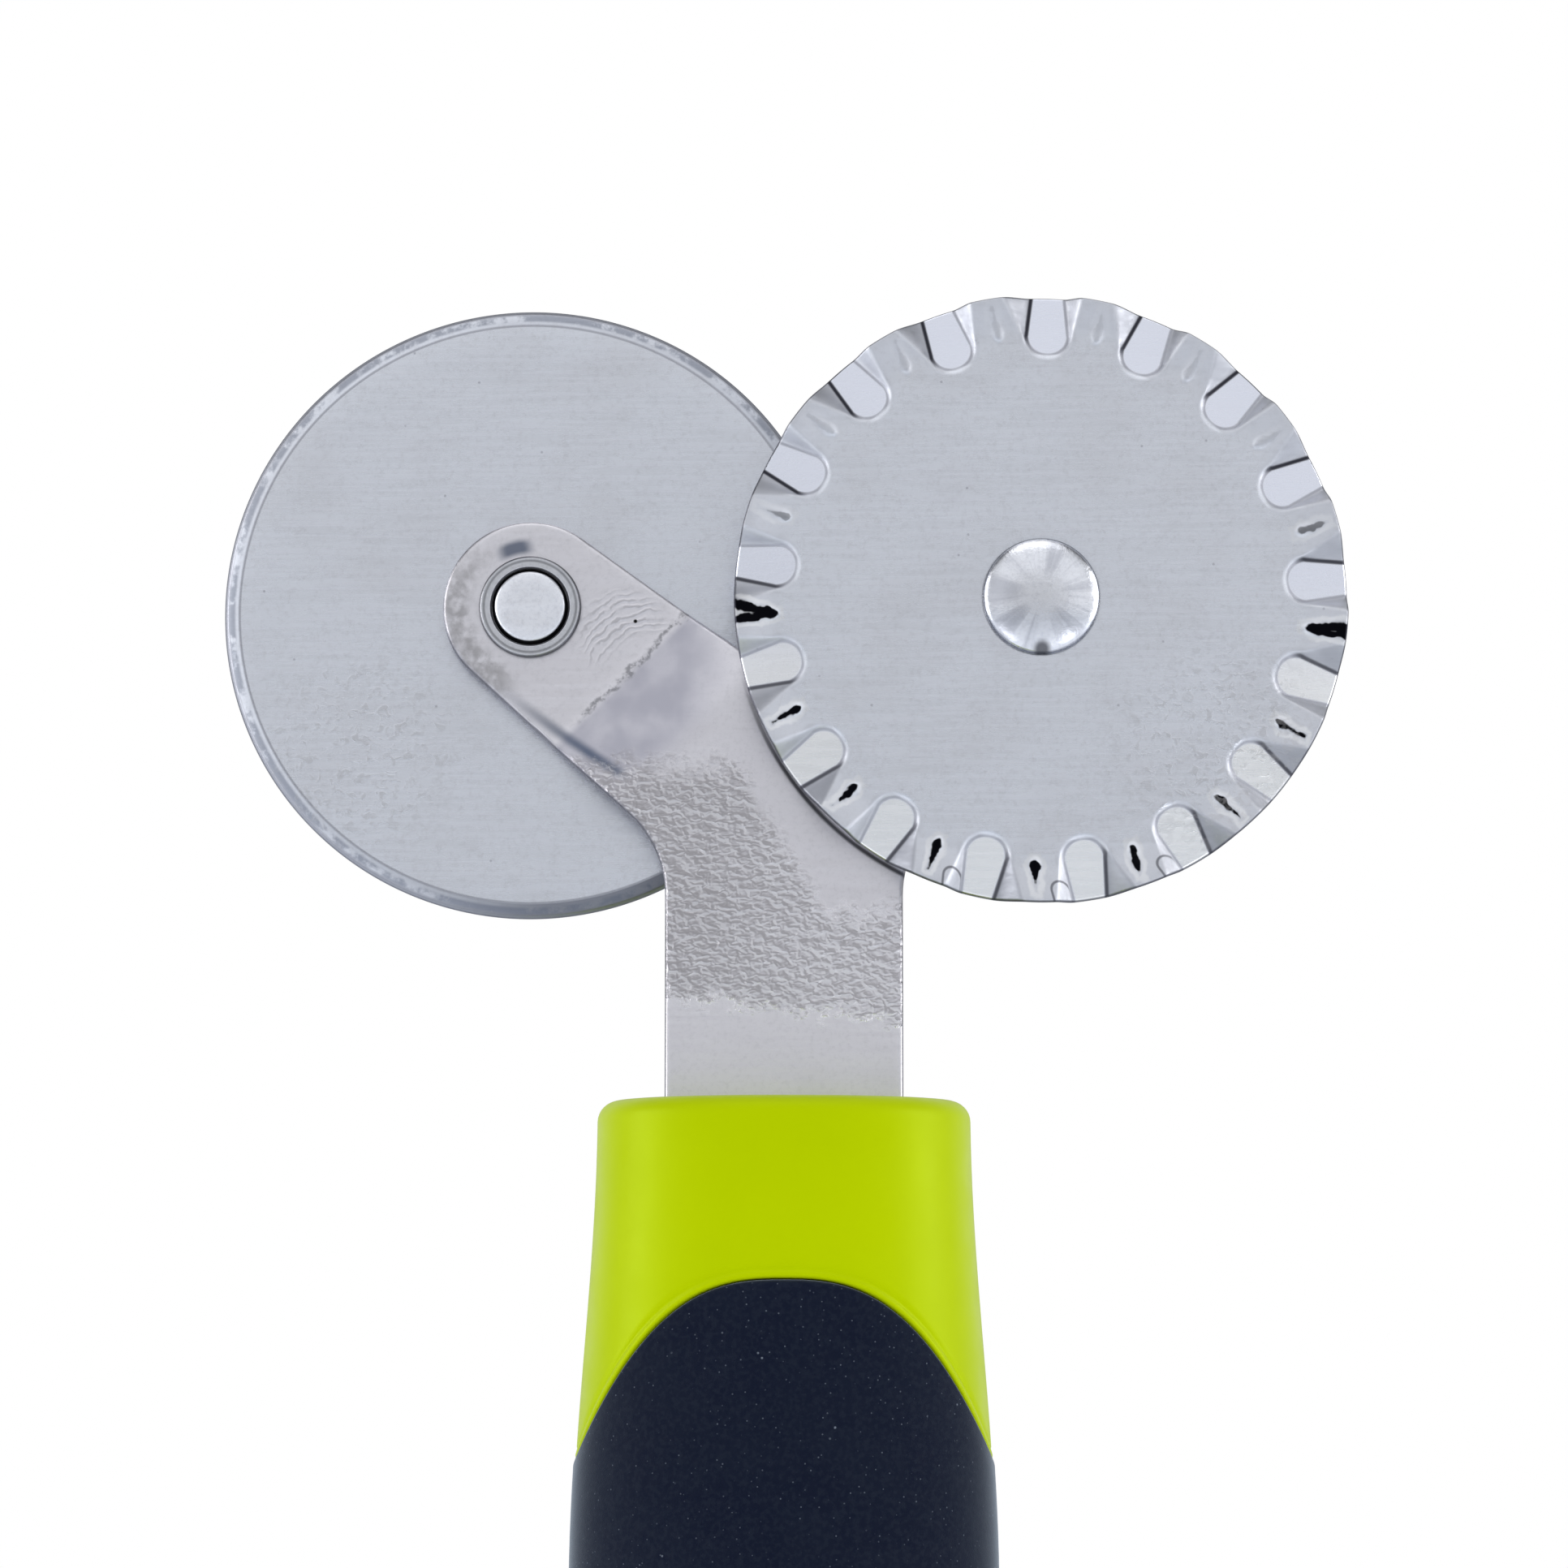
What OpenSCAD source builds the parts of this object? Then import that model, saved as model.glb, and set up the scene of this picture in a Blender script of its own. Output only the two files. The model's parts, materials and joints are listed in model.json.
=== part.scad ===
// Double pastry cutter wheel: a plain cutting wheel and a crimping wheel on a
// stamped Y fork, with a tang held in a two-colour moulded handle.
// Origin: middle of the hand grip, on the tool's long axis.
// +Z runs up the tool to the wheels, +X to the crimping wheel's side.
// Both wheels turn about Y. The crimping wheel lies on the fork's -Y side.

/* [Wheels] */
// Radius of the plain wheel
wheel_r = 20; // [18:0.5:22]
// Distance of each wheel's axle from the tool's centre line
axle_x = 16.4; // [15:0.2:18]
// Height of both axles above the handle's top
axle_rise = 32; // [30:0.2:36]
// Thickness of the plain wheel
plain_t = 1; // [0.8:0.1:1.4]
// Width of the ground bevel round the plain wheel
bevel_w = 1; // [0.6:0.1:2]
// Depth of the bevel where its steeper outer edge begins
bevel_drop = 0.15; // [0.05:0.05:0.25]
// Width of the steeper outer edge
edge_w = 0.25; // [0.15:0.05:0.4]
// Thickness left at the plain wheel's edge
edge_t = 0.2; // [0.1:0.05:0.4]

/* [Flutes] */
// Radius of the crimping wheel, whose rim is drawn in a little by its flutes
fluted_r = 19.6; // [18.5:0.1:20]
// Number of flutes pressed round the crimping wheel
flute_n = 17; // [14:1:20]
// Sheet thickness of the crimping wheel
sheet_t = 0.7; // [0.5:0.1:0.9]
// Radius at which the pressed pockets begin
pocket_r = 15.6; // [15:0.1:16.5]
// Depth of a pocket at the rim
pocket_depth = 0.8; // [0.6:0.1:1.2]
// Height of a ridge at the rim
ridge_height = 0.4; // [0.3:0.1:1.2]
// Turn of the first pocket from the wheel's top
flute_turn = 1.7; // [0:0.1:5]

/* [Fork plate] */
// Thickness of the fork plate
plate_t = 1.5; // [1.2:0.1:2]
// Width of the tang
tang_w = 15.2; // [13:0.2:17]
// Radius of the round lobe at each axle
lobe_r = 5.65; // [5:0.05:7]
// Slope of an arm's upper edge
upper_slope = 35.9; // [34:0.1:38]
// Slope of an arm's lower edge
lower_slope = 42.6; // [41:0.1:45]
// Radius of the curve from an arm into the tang
neck_r = 7; // [5:0.5:9]
// Radius in the crotch between the arms
crotch_r = 4; // [3:0.5:5]
// Distance that each arm is set out of the tang's plane
joggle = 1.6; // [1.4:0.1:1.8]
// Distance from an axle to the near bend of its joggle
bend_near = 7.5; // [7:0.1:8.5]
// Distance from an axle to the far bend of its joggle
bend_far = 13.1; // [12:0.1:14]
// Length of tang inside the handle
tang_hidden = 50; // [40:1:55]

/* [Rivets] */
// Radius of the rivet shanks
shank_r = 2.45; // [2.2:0.05:2.6]
// Radius of the domed rivet heads
head_r = 3.7; // [3.5:0.05:4.5]
// Height of the domed rivet heads
head_h = 1.1; // [0.8:0.1:1.4]
// Outer radius of the collars pressed over the staked ends
collar_r = 3.3; // [3.1:0.05:4]
// Thickness of the collars
collar_t = 0.5; // [0.4:0.05:0.8]
// Height of a staked end above its collar
staked_rise = 0.15; // [0.05:0.05:0.3]
// Outer radius of the spacing washers
washer_r = 5; // [4:0.1:5.5]
// Thickness of the spacing washers
washer_t = 0.45; // [0.35:0.05:0.6]
// Radial clearance of a wheel on its shank
running_gap = 0.05; // [0.02:0.01:0.08]
// End play on each side of a wheel
end_play = 0.1; // [0.08:0.01:0.15]

/* [Handle] */
// Height of the handle's top above the origin
handle_top = 60.2; // [58:0.1:62]
// Depth of the handle's lower end below the origin
handle_drop = 65; // [62:1:68]
// Half-width of the handle at its top
top_half_w = 11.85; // [11.4:0.05:12.4]
// Half-depth of the handle at its top
top_half_d = 9; // [8.6:0.1:10]
// Height of the widest part of the handle above the origin
belly_z = 29; // [20:1:32]
// Half-width of the handle at its widest
belly_half_w = 13.4; // [13.2:0.1:14.5]
// Half-depth of the handle at its widest
belly_half_d = 10.2; // [10:0.1:11]
// Half-width that the handle tapers to at its lower end
tail_half_w = 11.2; // [10.6:0.1:12]
// Half-depth that the handle tapers to at its lower end
tail_half_d = 6.4; // [6.2:0.1:8]
// Power of the rounded cross-section: 2 is an ellipse, more is squarer
section_power = 2.2; // [2:0.05:2.6]
// Rounding of the handle's top edge
top_round = 1.3; // [1:0.1:2.5]
// Drop from the origin to the joint between the handle shell and the end cap
cap_drop = 48; // [46:1:50]
// Width of the moulded carrier round the tang
carrier_w = 17.4; // [17:0.2:18]
// Depth of the moulded carrier round the tang
carrier_d = 6; // [5:0.5:6.5]
// Radius of the pins through the tang
pin_r = 1.5; // [1:0.1:2]
// Radius of the end cap's spigot
spigot_r = 4.5; // [4:0.25:5]
// Length of the end cap's spigot
spigot_l = 9; // [6:0.5:12]
// Radius of the hanging hole
hang_r = 3; // [2.5:0.1:3.5]
// Distance of the hanging hole from the handle's lower end
hang_inset = 8.5; // [8:0.5:9.5]

/* [Grip] */
// Half-width of the arch at the grip's upper edge
arch_half_w = 13.3; // [13.2:0.1:14]
// Height of the arch from its feet to its crown
arch_h = 11.6; // [10:0.2:13]
// Power of the arch's curve: 2 is a parabola, more is squarer
arch_power = 2.7; // [2:0.1:3]
// Distance of the arch's crown below the handle's top
arch_inset = 11.4; // [10:0.2:13]
// Distance that the grip stands proud of the shell
grip_proud = 0.15; // [0.1:0.05:0.3]
// Thickness of the soft grip's wall in the shell
grip_t = 2; // [1.5:0.1:2.2]

/* [Hidden] */

$fn = 64;
steel = [0.74, 0.76, 0.80];
bright_steel = [0.86, 0.87, 0.89];
lime = [0.71, 0.83, 0.03];
navy = [0.06, 0.10, 0.16];
carrier_grey = [0.75, 0.75, 0.72];

// How far a cutting shape runs past what it cuts
past = 2;
// Size of a block that is larger than the whole tool
span = 80;
// Size of the small chamfers on staked ends and collars
chamfer = 0.3;
// Straight side of a domed rivet head below its dome
head_edge = 0.15;
// Clearance of the tang in the handle shell's top slot
slot_gap = 0.1;

axle_z = handle_top + axle_rise;
bore_r = shank_r + running_gap;
// Distances out from the tang's middle plane, on either wheel's own side
arm_inner = joggle - plate_t / 2;
arm_outer = joggle + plate_t / 2;
wheel_near = arm_outer + washer_t + end_play;
plain_far = wheel_near + plain_t;
fluted_mid = wheel_near + sheet_t / 2;
fluted_far = wheel_near + sheet_t;
// Radius of the sphere that a rivet's dome is cut from
dome_h = head_h - head_edge;
dome_r = (pow(head_r, 2) + pow(dome_h, 2)) / (2 * dome_h);

tang_half = tang_w / 2;
tang_end = handle_top - tang_hidden;
pin_levels = [handle_top - 14, handle_top - 38];
carrier_top = handle_top - 3;
carrier_end = tang_end - 4;
// The arms' upper edges meet on the centre line, and an arc rounds the crotch there
crotch_meet = axle_z + lobe_r / cos(upper_slope) - axle_x * tan(upper_slope);
crotch_z = crotch_meet + crotch_r / cos(upper_slope);
// An arm's lower edge meets the tang's side, and an arc rounds the neck there
neck_meet = axle_z - lobe_r / cos(lower_slope) - (axle_x - tang_half) * tan(lower_slope);
neck_tangent = neck_r * tan((90 - lower_slope) / 2);
neck_z = neck_meet - neck_tangent;
// The joggles' bends run square to a line at this slope from the axle
bend_slope = 45;

cap_top = -cap_drop;
arch_z = handle_top - arch_inset;
arch_foot = arch_z - arch_h;
hang_z = hang_inset - handle_drop;
// Length of the end cap's rounded end
end_round = 13;

// Facets: points round a handle section, points across a flute, and rings of the rim
section_n = 28;
flute_steps = 10;
rim_rings = 6;

// ---- placing ----

// Puts a part on the plain wheel's axle: local +Z becomes outwards, away from the fork
module on_plain_axle() {
    translate([-axle_x, 0, axle_z]) rotate([-90, 0, 0]) children();
}

// The same on the crimping wheel's axle, where outwards is -Y
module on_fluted_axle() {
    rotate([0, 0, 180]) on_plain_axle() children();
}

// Turns a shape drawn in the XY plane into the XZ plane, centred on Y
module upright(depth) {
    rotate([90, 0, 0]) linear_extrude(height = depth, center = true) children();
}

// ---- fork plate ----

// Outline of the plain wheel's arm, with the whole tang
module arm_outline() {
    upper = [lobe_r * sin(upper_slope), lobe_r * cos(upper_slope)];
    lower = [lobe_r * sin(lower_slope), lobe_r * cos(lower_slope)];
    translate([-axle_x, axle_z]) circle(r = lobe_r);
    polygon([
        [-axle_x + upper[0], axle_z + upper[1]],
        [0, crotch_meet],
        [tang_half, crotch_meet - tang_half * tan(upper_slope)],
        [tang_half, tang_end],
        [-tang_half, tang_end],
        [-tang_half, neck_meet],
        [-axle_x - lower[0], axle_z - lower[1]],
        [-axle_x, axle_z],
    ]);
}

// Rounds the inside corner between the arm's lower edge and the tang
module neck_fillet() {
    difference() {
        polygon([
            [-tang_half, neck_meet],
            [-tang_half, neck_z],
            [-tang_half - neck_tangent * cos(lower_slope), neck_meet + neck_tangent * sin(lower_slope)],
        ]);
        translate([-tang_half - neck_r, neck_z]) circle(r = neck_r);
    }
}

// Rounds the crotch between the two arms
module crotch_fillet() {
    reach = crotch_r * sin(upper_slope);
    edge_z = crotch_z - crotch_r * cos(upper_slope);
    difference() {
        polygon([[0, crotch_meet - chamfer], [reach, edge_z], [-reach, edge_z]]);
        translate([0, crotch_z]) circle(r = crotch_r);
    }
}

// Side view of an arm: a sheet that steps out of the tang's plane towards its wheel
module joggle_profile() {
    polygon([
        [-span, arm_inner],
        [bend_near, arm_inner],
        [bend_far, -plate_t / 2],
        [2 * span, -plate_t / 2],
        [2 * span, plate_t / 2],
        [bend_far, plate_t / 2],
        [bend_near, arm_outer],
        [-span, arm_outer],
    ]);
}

// The plain wheel's arm, with the tang, as one bent sheet
module arm() {
    intersection() {
        upright(span) {
            arm_outline();
            neck_fillet();
        }
        translate([-axle_x, 0, axle_z])
            rotate([0, bend_slope, 0])
                linear_extrude(height = 4 * span, center = true)
                    joggle_profile();
    }
}

module fork_plate() {
    color(steel) difference() {
        union() {
            arm();
            rotate([0, 0, 180]) arm();
            upright(plate_t) crotch_fillet();
        }
        on_plain_axle() cylinder(r = shank_r, h = span, center = true);
        on_fluted_axle() cylinder(r = shank_r, h = span, center = true);
        for (level = pin_levels)
            translate([0, 0, level]) rotate([90, 0, 0]) cylinder(r = pin_r, h = span, center = true);
    }
}

// ---- wheels ----

module plain_wheel() {
    middle = (wheel_near + plain_far) / 2;
    color(steel) on_plain_axle() rotate_extrude() polygon([
        [bore_r, wheel_near],
        [wheel_r - bevel_w, wheel_near],
        [wheel_r - edge_w, wheel_near + bevel_drop],
        [wheel_r, middle - edge_t / 2],
        [wheel_r, middle + edge_t / 2],
        [wheel_r - edge_w, plain_far - bevel_drop],
        [wheel_r - bevel_w, plain_far],
        [bore_r, plain_far],
    ]);
}

// Share of the way from the flat disc to the rim, 0 to 1
function rim_share(r) = max(0, (r - pocket_r) / (fluted_r - pocket_r));

// Shape across a flute, from 1 in the middle of a pocket to -1 on a ridge.
// A pocket is a little wider than a ridge, so the curve is flattened at its top.
function flute_wave(turn) = cos(360 * turn) * (1.3 - 0.3 * abs(cos(360 * turn)));

// Offset of the pressed sheet from the flat disc, towards the fork when positive
function flute_offset(r, turn) =
    let(wave = flute_wave(turn), share = rim_share(r))
    wave > 0 ? wave * share * pocket_depth : wave * pow(share, 1.5) * ridge_height;

// The crimping wheel's sheet as one closed mesh, drawn round local Z with -Z towards the fork
module fluted_sheet() {
    steps = flute_n * flute_steps;
    inner_r = bore_r / 2;
    radii = [inner_r, for (i = [0:rim_rings]) pocket_r + (fluted_r - pocket_r) * i / rim_rings];
    rings = len(radii);
    points = [
        for (side = [-1, 1], r = radii, i = [0:steps - 1])
            let(a = 360 * i / steps)
            [r * sin(a), r * cos(a), side * sheet_t / 2 - flute_offset(r, i / flute_steps)]
    ];
    faces = [
        for (ring = [0:rings - 2], i = [0:steps - 1])
            let(
                next = (i + 1) % steps,
                a = ring * steps + i,
                b = ring * steps + next,
                c = a + steps,
                d = b + steps,
                over = rings * steps
            )
            each [
                [a, b, c],
                [b, d, c],
                [a + over, c + over, b + over],
                [b + over, c + over, d + over],
            ],
        for (i = [0:steps - 1])
            let(
                next = (i + 1) % steps,
                over = rings * steps,
                outer = (rings - 1) * steps
            )
            each [
                [i, i + over, next],
                [next, i + over, next + over],
                [outer + i, outer + next, outer + i + over],
                [outer + next, outer + next + over, outer + i + over],
            ],
    ];
    polyhedron(points = points, faces = faces);
}

module fluted_wheel() {
    color(steel) on_fluted_axle() difference() {
        translate([0, 0, fluted_mid]) rotate([0, 0, 180 + flute_turn]) fluted_sheet();
        cylinder(r = bore_r, h = span, center = true);
    }
}

// ---- rivets, collars and washers ----

// A solid rivet whose head bears on the wheel's outer face, at this distance
module rivet(wheel_far) {
    seat = wheel_far + end_play;
    foot = arm_inner - collar_t - staked_rise;
    translate([0, 0, foot + chamfer]) cylinder(r = shank_r, h = seat + head_edge / 2 - foot - chamfer);
    translate([0, 0, foot]) cylinder(r1 = shank_r - chamfer, r2 = shank_r, h = chamfer);
    translate([0, 0, seat]) intersection() {
        cylinder(r = head_r, h = head_h);
        translate([0, 0, head_h - dome_r]) sphere(r = dome_r, $fn = 96);
    }
}

// A ring pressed over a rivet's staked end, with a groove round the end
module collar() {
    bottom = arm_inner - collar_t;
    rotate_extrude() polygon([
        [shank_r, arm_inner],
        [collar_r, arm_inner],
        [collar_r, bottom + chamfer / 2],
        [collar_r - chamfer / 2, bottom],
        [shank_r + chamfer, bottom],
        [shank_r, bottom + chamfer],
    ]);
}

// A thin ring between an arm and its wheel
module washer() {
    translate([0, 0, arm_outer]) difference() {
        cylinder(r = washer_r, h = washer_t);
        translate([0, 0, -past]) cylinder(r = shank_r, h = washer_t + 2 * past);
    }
}

module plain_rivet() {
    color(bright_steel) on_plain_axle() rivet(plain_far);
}

module fluted_rivet() {
    color(bright_steel) on_fluted_axle() rivet(fluted_far);
}

module plain_collar() {
    color(bright_steel) on_plain_axle() collar();
}

module fluted_collar() {
    color(bright_steel) on_fluted_axle() collar();
}

module plain_washer() {
    color(bright_steel) on_plain_axle() washer();
}

module fluted_washer() {
    color(bright_steel) on_fluted_axle() washer();
}

// ---- handle ----

function ease(t) = (1 - cos(180 * t)) / 2;
function blend(from, to, t) = from + (to - from) * ease(t);

// Size of the handle at height z, swelling from its top to its belly and tapering to its tail
function swell(z, top, belly, tail) =
    z > belly_z
        ? blend(top, belly, (handle_top - z) / (handle_top - belly_z))
        : blend(belly, tail, (belly_z - z) / (belly_z + handle_drop));
function half_w(z) = swell(z, top_half_w, belly_half_w, tail_half_w);
function half_d(z) = swell(z, top_half_d, belly_half_d, tail_half_d);

// Inset that rounds the handle's top edge
function top_inset(z) =
    let(above = max(0, z - (handle_top - top_round)))
    top_round - sqrt(pow(top_round, 2) - pow(above, 2));

// Share of the full section left at height z by the rounded lower end
function end_share(z, power) =
    let(below = max(0, end_round - handle_drop - z) / end_round)
    pow(1 - pow(below, power), 1 / power);

function sign_pow(x, power) = sign(x) * pow(abs(x), power);

// Points round one section of the handle, grown by some amount all round
function section(z, grow) =
    let(
        w = (half_w(z) + grow - top_inset(z)) * end_share(z, 2),
        d = (half_d(z) + grow - top_inset(z)) * end_share(z, 3)
    )
    [
        for (i = [0:section_n - 1])
            let(a = 360 * i / section_n)
            [w * sign_pow(cos(a), 2 / section_power), d * sign_pow(sin(a), 2 / section_power), z]
    ];

// A closed solid through the handle's sections at these heights, from the lowest up
module loft(levels, grow) {
    rings = len(levels);
    points = [for (z = levels) each section(z, grow)];
    faces = [
        [for (i = [0:section_n - 1]) i],
        [for (i = [0:section_n - 1]) rings * section_n - 1 - i],
        for (ring = [0:rings - 2], i = [0:section_n - 1])
            let(
                a = ring * section_n + i,
                b = ring * section_n + (i + 1) % section_n
            )
            each [[a, a + section_n, b], [b, a + section_n, b + section_n]],
    ];
    polyhedron(points = points, faces = faces);
}

// Even levels from one height up to another
function levels(low, high, count) = [for (i = [0:count]) low + (high - low) * i / count];

// Everything below the arch, as seen from the front
module below_arch() {
    steps = 36;
    upright(span) polygon([
        for (i = [0:steps])
            let(share = 2 * i / steps - 1)
            [share * arch_half_w, arch_z - arch_h * pow(abs(share), arch_power)],
        [span, arch_foot],
        [span, cap_top - past],
        [-span, cap_top - past],
        [-span, arch_foot],
    ]);
}

// The shell's waist under the grip
module grip_seat() {
    loft(levels(cap_top, arch_z + past, 12), -grip_t);
}

module tang_box(width, depth, low, high) {
    translate([-width / 2, -depth / 2, low]) cube([width, depth, high - low]);
}

module handle_shell() {
    bend = handle_top - top_round;
    outer = concat(
        levels(cap_top, bend, 14),
        [bend + top_round * 0.6, bend + top_round * 0.9, handle_top]
    );
    color(lime) difference() {
        union() {
            difference() {
                loft(outer, 0);
                below_arch();
            }
            grip_seat();
        }
        tang_box(carrier_w, carrier_d, carrier_end, carrier_top);
        tang_box(tang_w + 2 * slot_gap, plate_t + 2 * slot_gap, carrier_top - past, handle_top + past);
        translate([0, 0, cap_top - past]) cylinder(r = spigot_r, h = spigot_l + past);
    }
}

module soft_grip() {
    color(navy) difference() {
        intersection() {
            loft(levels(cap_top, arch_z + past, 12), grip_proud);
            below_arch();
        }
        grip_seat();
    }
}

module tang_carrier() {
    color(carrier_grey) difference() {
        tang_box(carrier_w, carrier_d, carrier_end, carrier_top);
        tang_box(tang_w, plate_t, tang_end, handle_top);
        for (level = pin_levels)
            translate([0, 0, level]) rotate([90, 0, 0]) cylinder(r = pin_r, h = span, center = true);
    }
}

module tang_pins() {
    color(bright_steel) for (level = pin_levels)
        translate([0, 0, level]) rotate([90, 0, 0]) cylinder(r = pin_r, h = carrier_d, center = true);
}

module end_cap() {
    tip = [for (share = [0.02, 0.1, 0.25, 0.45, 0.7]) end_round * share - handle_drop];
    color(lime) {
        difference() {
            loft(concat(tip, levels(end_round - handle_drop, cap_top, 2)), 0);
            translate([0, 0, hang_z]) rotate([90, 0, 0]) cylinder(r = hang_r, h = span, center = true);
        }
        translate([0, 0, cap_top - chamfer]) cylinder(r = spigot_r, h = spigot_l + chamfer);
    }
}

fork_plate();
plain_wheel();
fluted_wheel();
plain_rivet();
fluted_rivet();
plain_collar();
fluted_collar();
plain_washer();
fluted_washer();
tang_carrier();
tang_pins();
handle_shell();
soft_grip();
end_cap();
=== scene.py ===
"""Looks of a double pastry cutter wheel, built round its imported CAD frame.

Lengths are in millimetres, and become metres where a mesh, a light or the camera is made. +Z runs up the tool
and both axles lie along Y. The crimping wheel is on the -Y side, which the camera looks at.
"""

import json
import math

import bmesh
import bpy
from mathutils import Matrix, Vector


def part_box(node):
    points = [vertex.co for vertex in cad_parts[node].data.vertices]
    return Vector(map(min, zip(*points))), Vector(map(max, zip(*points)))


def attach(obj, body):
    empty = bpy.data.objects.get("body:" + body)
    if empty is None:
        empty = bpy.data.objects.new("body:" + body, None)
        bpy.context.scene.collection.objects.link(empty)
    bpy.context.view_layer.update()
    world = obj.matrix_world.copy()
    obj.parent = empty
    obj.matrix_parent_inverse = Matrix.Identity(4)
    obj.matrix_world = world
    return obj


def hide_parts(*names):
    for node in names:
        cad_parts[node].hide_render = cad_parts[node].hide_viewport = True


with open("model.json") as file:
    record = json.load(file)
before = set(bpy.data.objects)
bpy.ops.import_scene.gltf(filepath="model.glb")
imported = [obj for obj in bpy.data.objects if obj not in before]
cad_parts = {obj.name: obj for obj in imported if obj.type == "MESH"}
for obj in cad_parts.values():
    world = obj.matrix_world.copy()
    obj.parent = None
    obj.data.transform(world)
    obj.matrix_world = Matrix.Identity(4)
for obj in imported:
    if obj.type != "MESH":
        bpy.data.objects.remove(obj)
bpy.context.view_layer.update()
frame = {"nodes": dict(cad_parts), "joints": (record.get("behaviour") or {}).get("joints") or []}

MM = 0.001
TAU = 2 * math.pi
BODY = "tool_frame"
JOINTS = {j["name"]: j for j in frame["joints"]}
PLAIN_AXLE = Vector(JOINTS["plain_spin"]["pos_m"]) / MM
FLUTED_AXLE = Vector(JOINTS["fluted_spin"]["pos_m"]) / MM


def box(node):
    """Lowest and highest corners of a CAD node, in millimetres."""
    low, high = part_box(node)
    return low / MM, high / MM


def reach(node, side):
    """Nearest and farthest distance of a CAD node from the tang's middle plane. side is +1 or -1 along Y."""
    low, high = box(node)
    return sorted((low.y * side, high.y * side))


# ---- sizes, which follow the CAD model ----

# Wheels, rivets and collars
PLAIN_SIDE, FLUTED_SIDE = 1, -1
WHEEL_R = (box("plain_wheel")[1].z - box("plain_wheel")[0].z) / 2
BEVEL_W = 1.0
BEVEL_DROP = 0.15
EDGE_W = 0.25
EDGE_T = 0.2
BORE_R = 2.5
END_PLAY = 0.1
SHANK_R = 2.45
HEAD_R = 3.7
HEAD_H = 1.1
COLLAR_R = 3.3
STAKED_R = 2.28

# Crimping wheel: its sheet, then its pockets, ridges, folds and curls
FLUTED_R = 19.6
FLUTE_N = 17
SHEET_T = 0.7
SHEET_EDGE = 0.08
FLUTE_TURN = math.radians(1.7)
FLUTED_MID = reach("fluted_washer", FLUTED_SIDE)[1] + END_PLAY + SHEET_T / 2
POCKET_START = 15.75
POCKET_END_R = 1.28
POCKET_NARROWING = 0.3
POCKET_STEP = 0.1
POCKET_DEPTH = 0.8
WALL_W = 0.35
WALL_SPREAD_BEFORE, WALL_SPREAD_AFTER = 1.9, 1.0
RIDGE_START = 16.9
RIDGE_HEIGHT = 0.4
FOLD_HALF = 0.3
FOLD_LENGTH = 2.0
FOLD_RISE = 0.12
FOLD_LEAN = 0.22
FOLD_OPEN_BAND = 5
CURL_R = 0.62

# Fork plate. Its tang ends out of sight, a little way inside the handle
PLATE_T = 1.5
TANG_HALF = 7.6
LOBE_R = 5.65
UPPER_SLOPE = math.radians(35.9)
LOWER_SLOPE = math.radians(42.6)
NECK_R = 7.0
CROTCH_R = 4.0
JOGGLE = 1.6
BEND_NEAR = 7.5
BEND_FAR = 13.1
PLATE_EDGE = 0.3
TANG_SHOWN_TO = 54.0

# Handle: sizes are (half-width, half-depth)
HANDLE_TOP = box("handle_shell")[1].z
CAP_TOP = box("handle_shell")[0].z
TIP_Z = -65.0
BELLY_Z = 29.0
TOP_SIZE, BELLY_SIZE, TAIL_SIZE = (11.85, 9.0), (13.4, 10.2), (11.2, 6.4)
SECTION_POWER = 2.2
TOP_ROUND = 1.3
END_ROUND = 13.0
GRIP_T = 2.0
GRIP_PROUD = 0.15
ARCH_HALF_W = 13.3
ARCH_H = 11.6
ARCH_POWER = 2.7
ARCH_Z = HANDLE_TOP - 11.4
HANG_Z = TIP_Z + 8.5
HANG_R = 3.0
HANG_FLARE = 0.9
HANDLE_COLUMNS = 160

# Gap between grip and shell, and the raised lip above it: (share of its width, height) from its top down
GROOVE = 0.07
LIP = 0.8
LIP_SHAPE = (
    (0.86, -0.045), (0.74, -0.07), (0.62, -0.03), (0.48, 0.03),
    (0.34, 0.05), (0.2, 0.03), (0.08, -0.04), (0, -0.24),
)


# ---- mesh helpers ----

ON_AXIS = 1e-6


def clamp(t):
    return min(1.0, max(0.0, t))


def smooth(t):
    t = clamp(t)
    return t * t * (3 - 2 * t)


def lerp(a, b, t):
    return a + (b - a) * t


def spread(low, high, count):
    """count + 1 even values from low to high."""
    return [lerp(low, high, i / count) for i in range(count + 1)]


def new_object(name, points, faces, body, stands_for=()):
    """A smooth-shaded mesh piece from points in millimetres, riding on a CAD body."""
    mesh = bpy.data.meshes.new(name)
    mesh.from_pydata([Vector(p) * MM for p in points], [], faces)
    bm = bmesh.new()
    bm.from_mesh(mesh)
    bmesh.ops.recalc_face_normals(bm, faces=bm.faces)
    bm.to_mesh(mesh)
    bm.free()
    return new_piece(name, mesh, body, stands_for)


def new_piece(name, mesh, body, stands_for=()):
    mesh.shade_smooth()
    piece = bpy.data.objects.new(name, mesh)
    bpy.context.scene.collection.objects.link(piece)
    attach(piece, body)
    if stands_for:
        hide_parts(*stands_for)
    return piece


def grid_faces(rows, columns, closed_rows=False):
    """Quads over rows of points that each close on themselves.

    closed_rows also joins the last row to the first.
    """
    last = rows if closed_rows else rows - 1
    faces = []
    for r in range(last):
        below, above = r * columns, (r + 1) % rows * columns
        for c in range(columns):
            n = (c + 1) % columns
            faces.append((below + c, below + n, above + n, above + c))
    return faces


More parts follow.
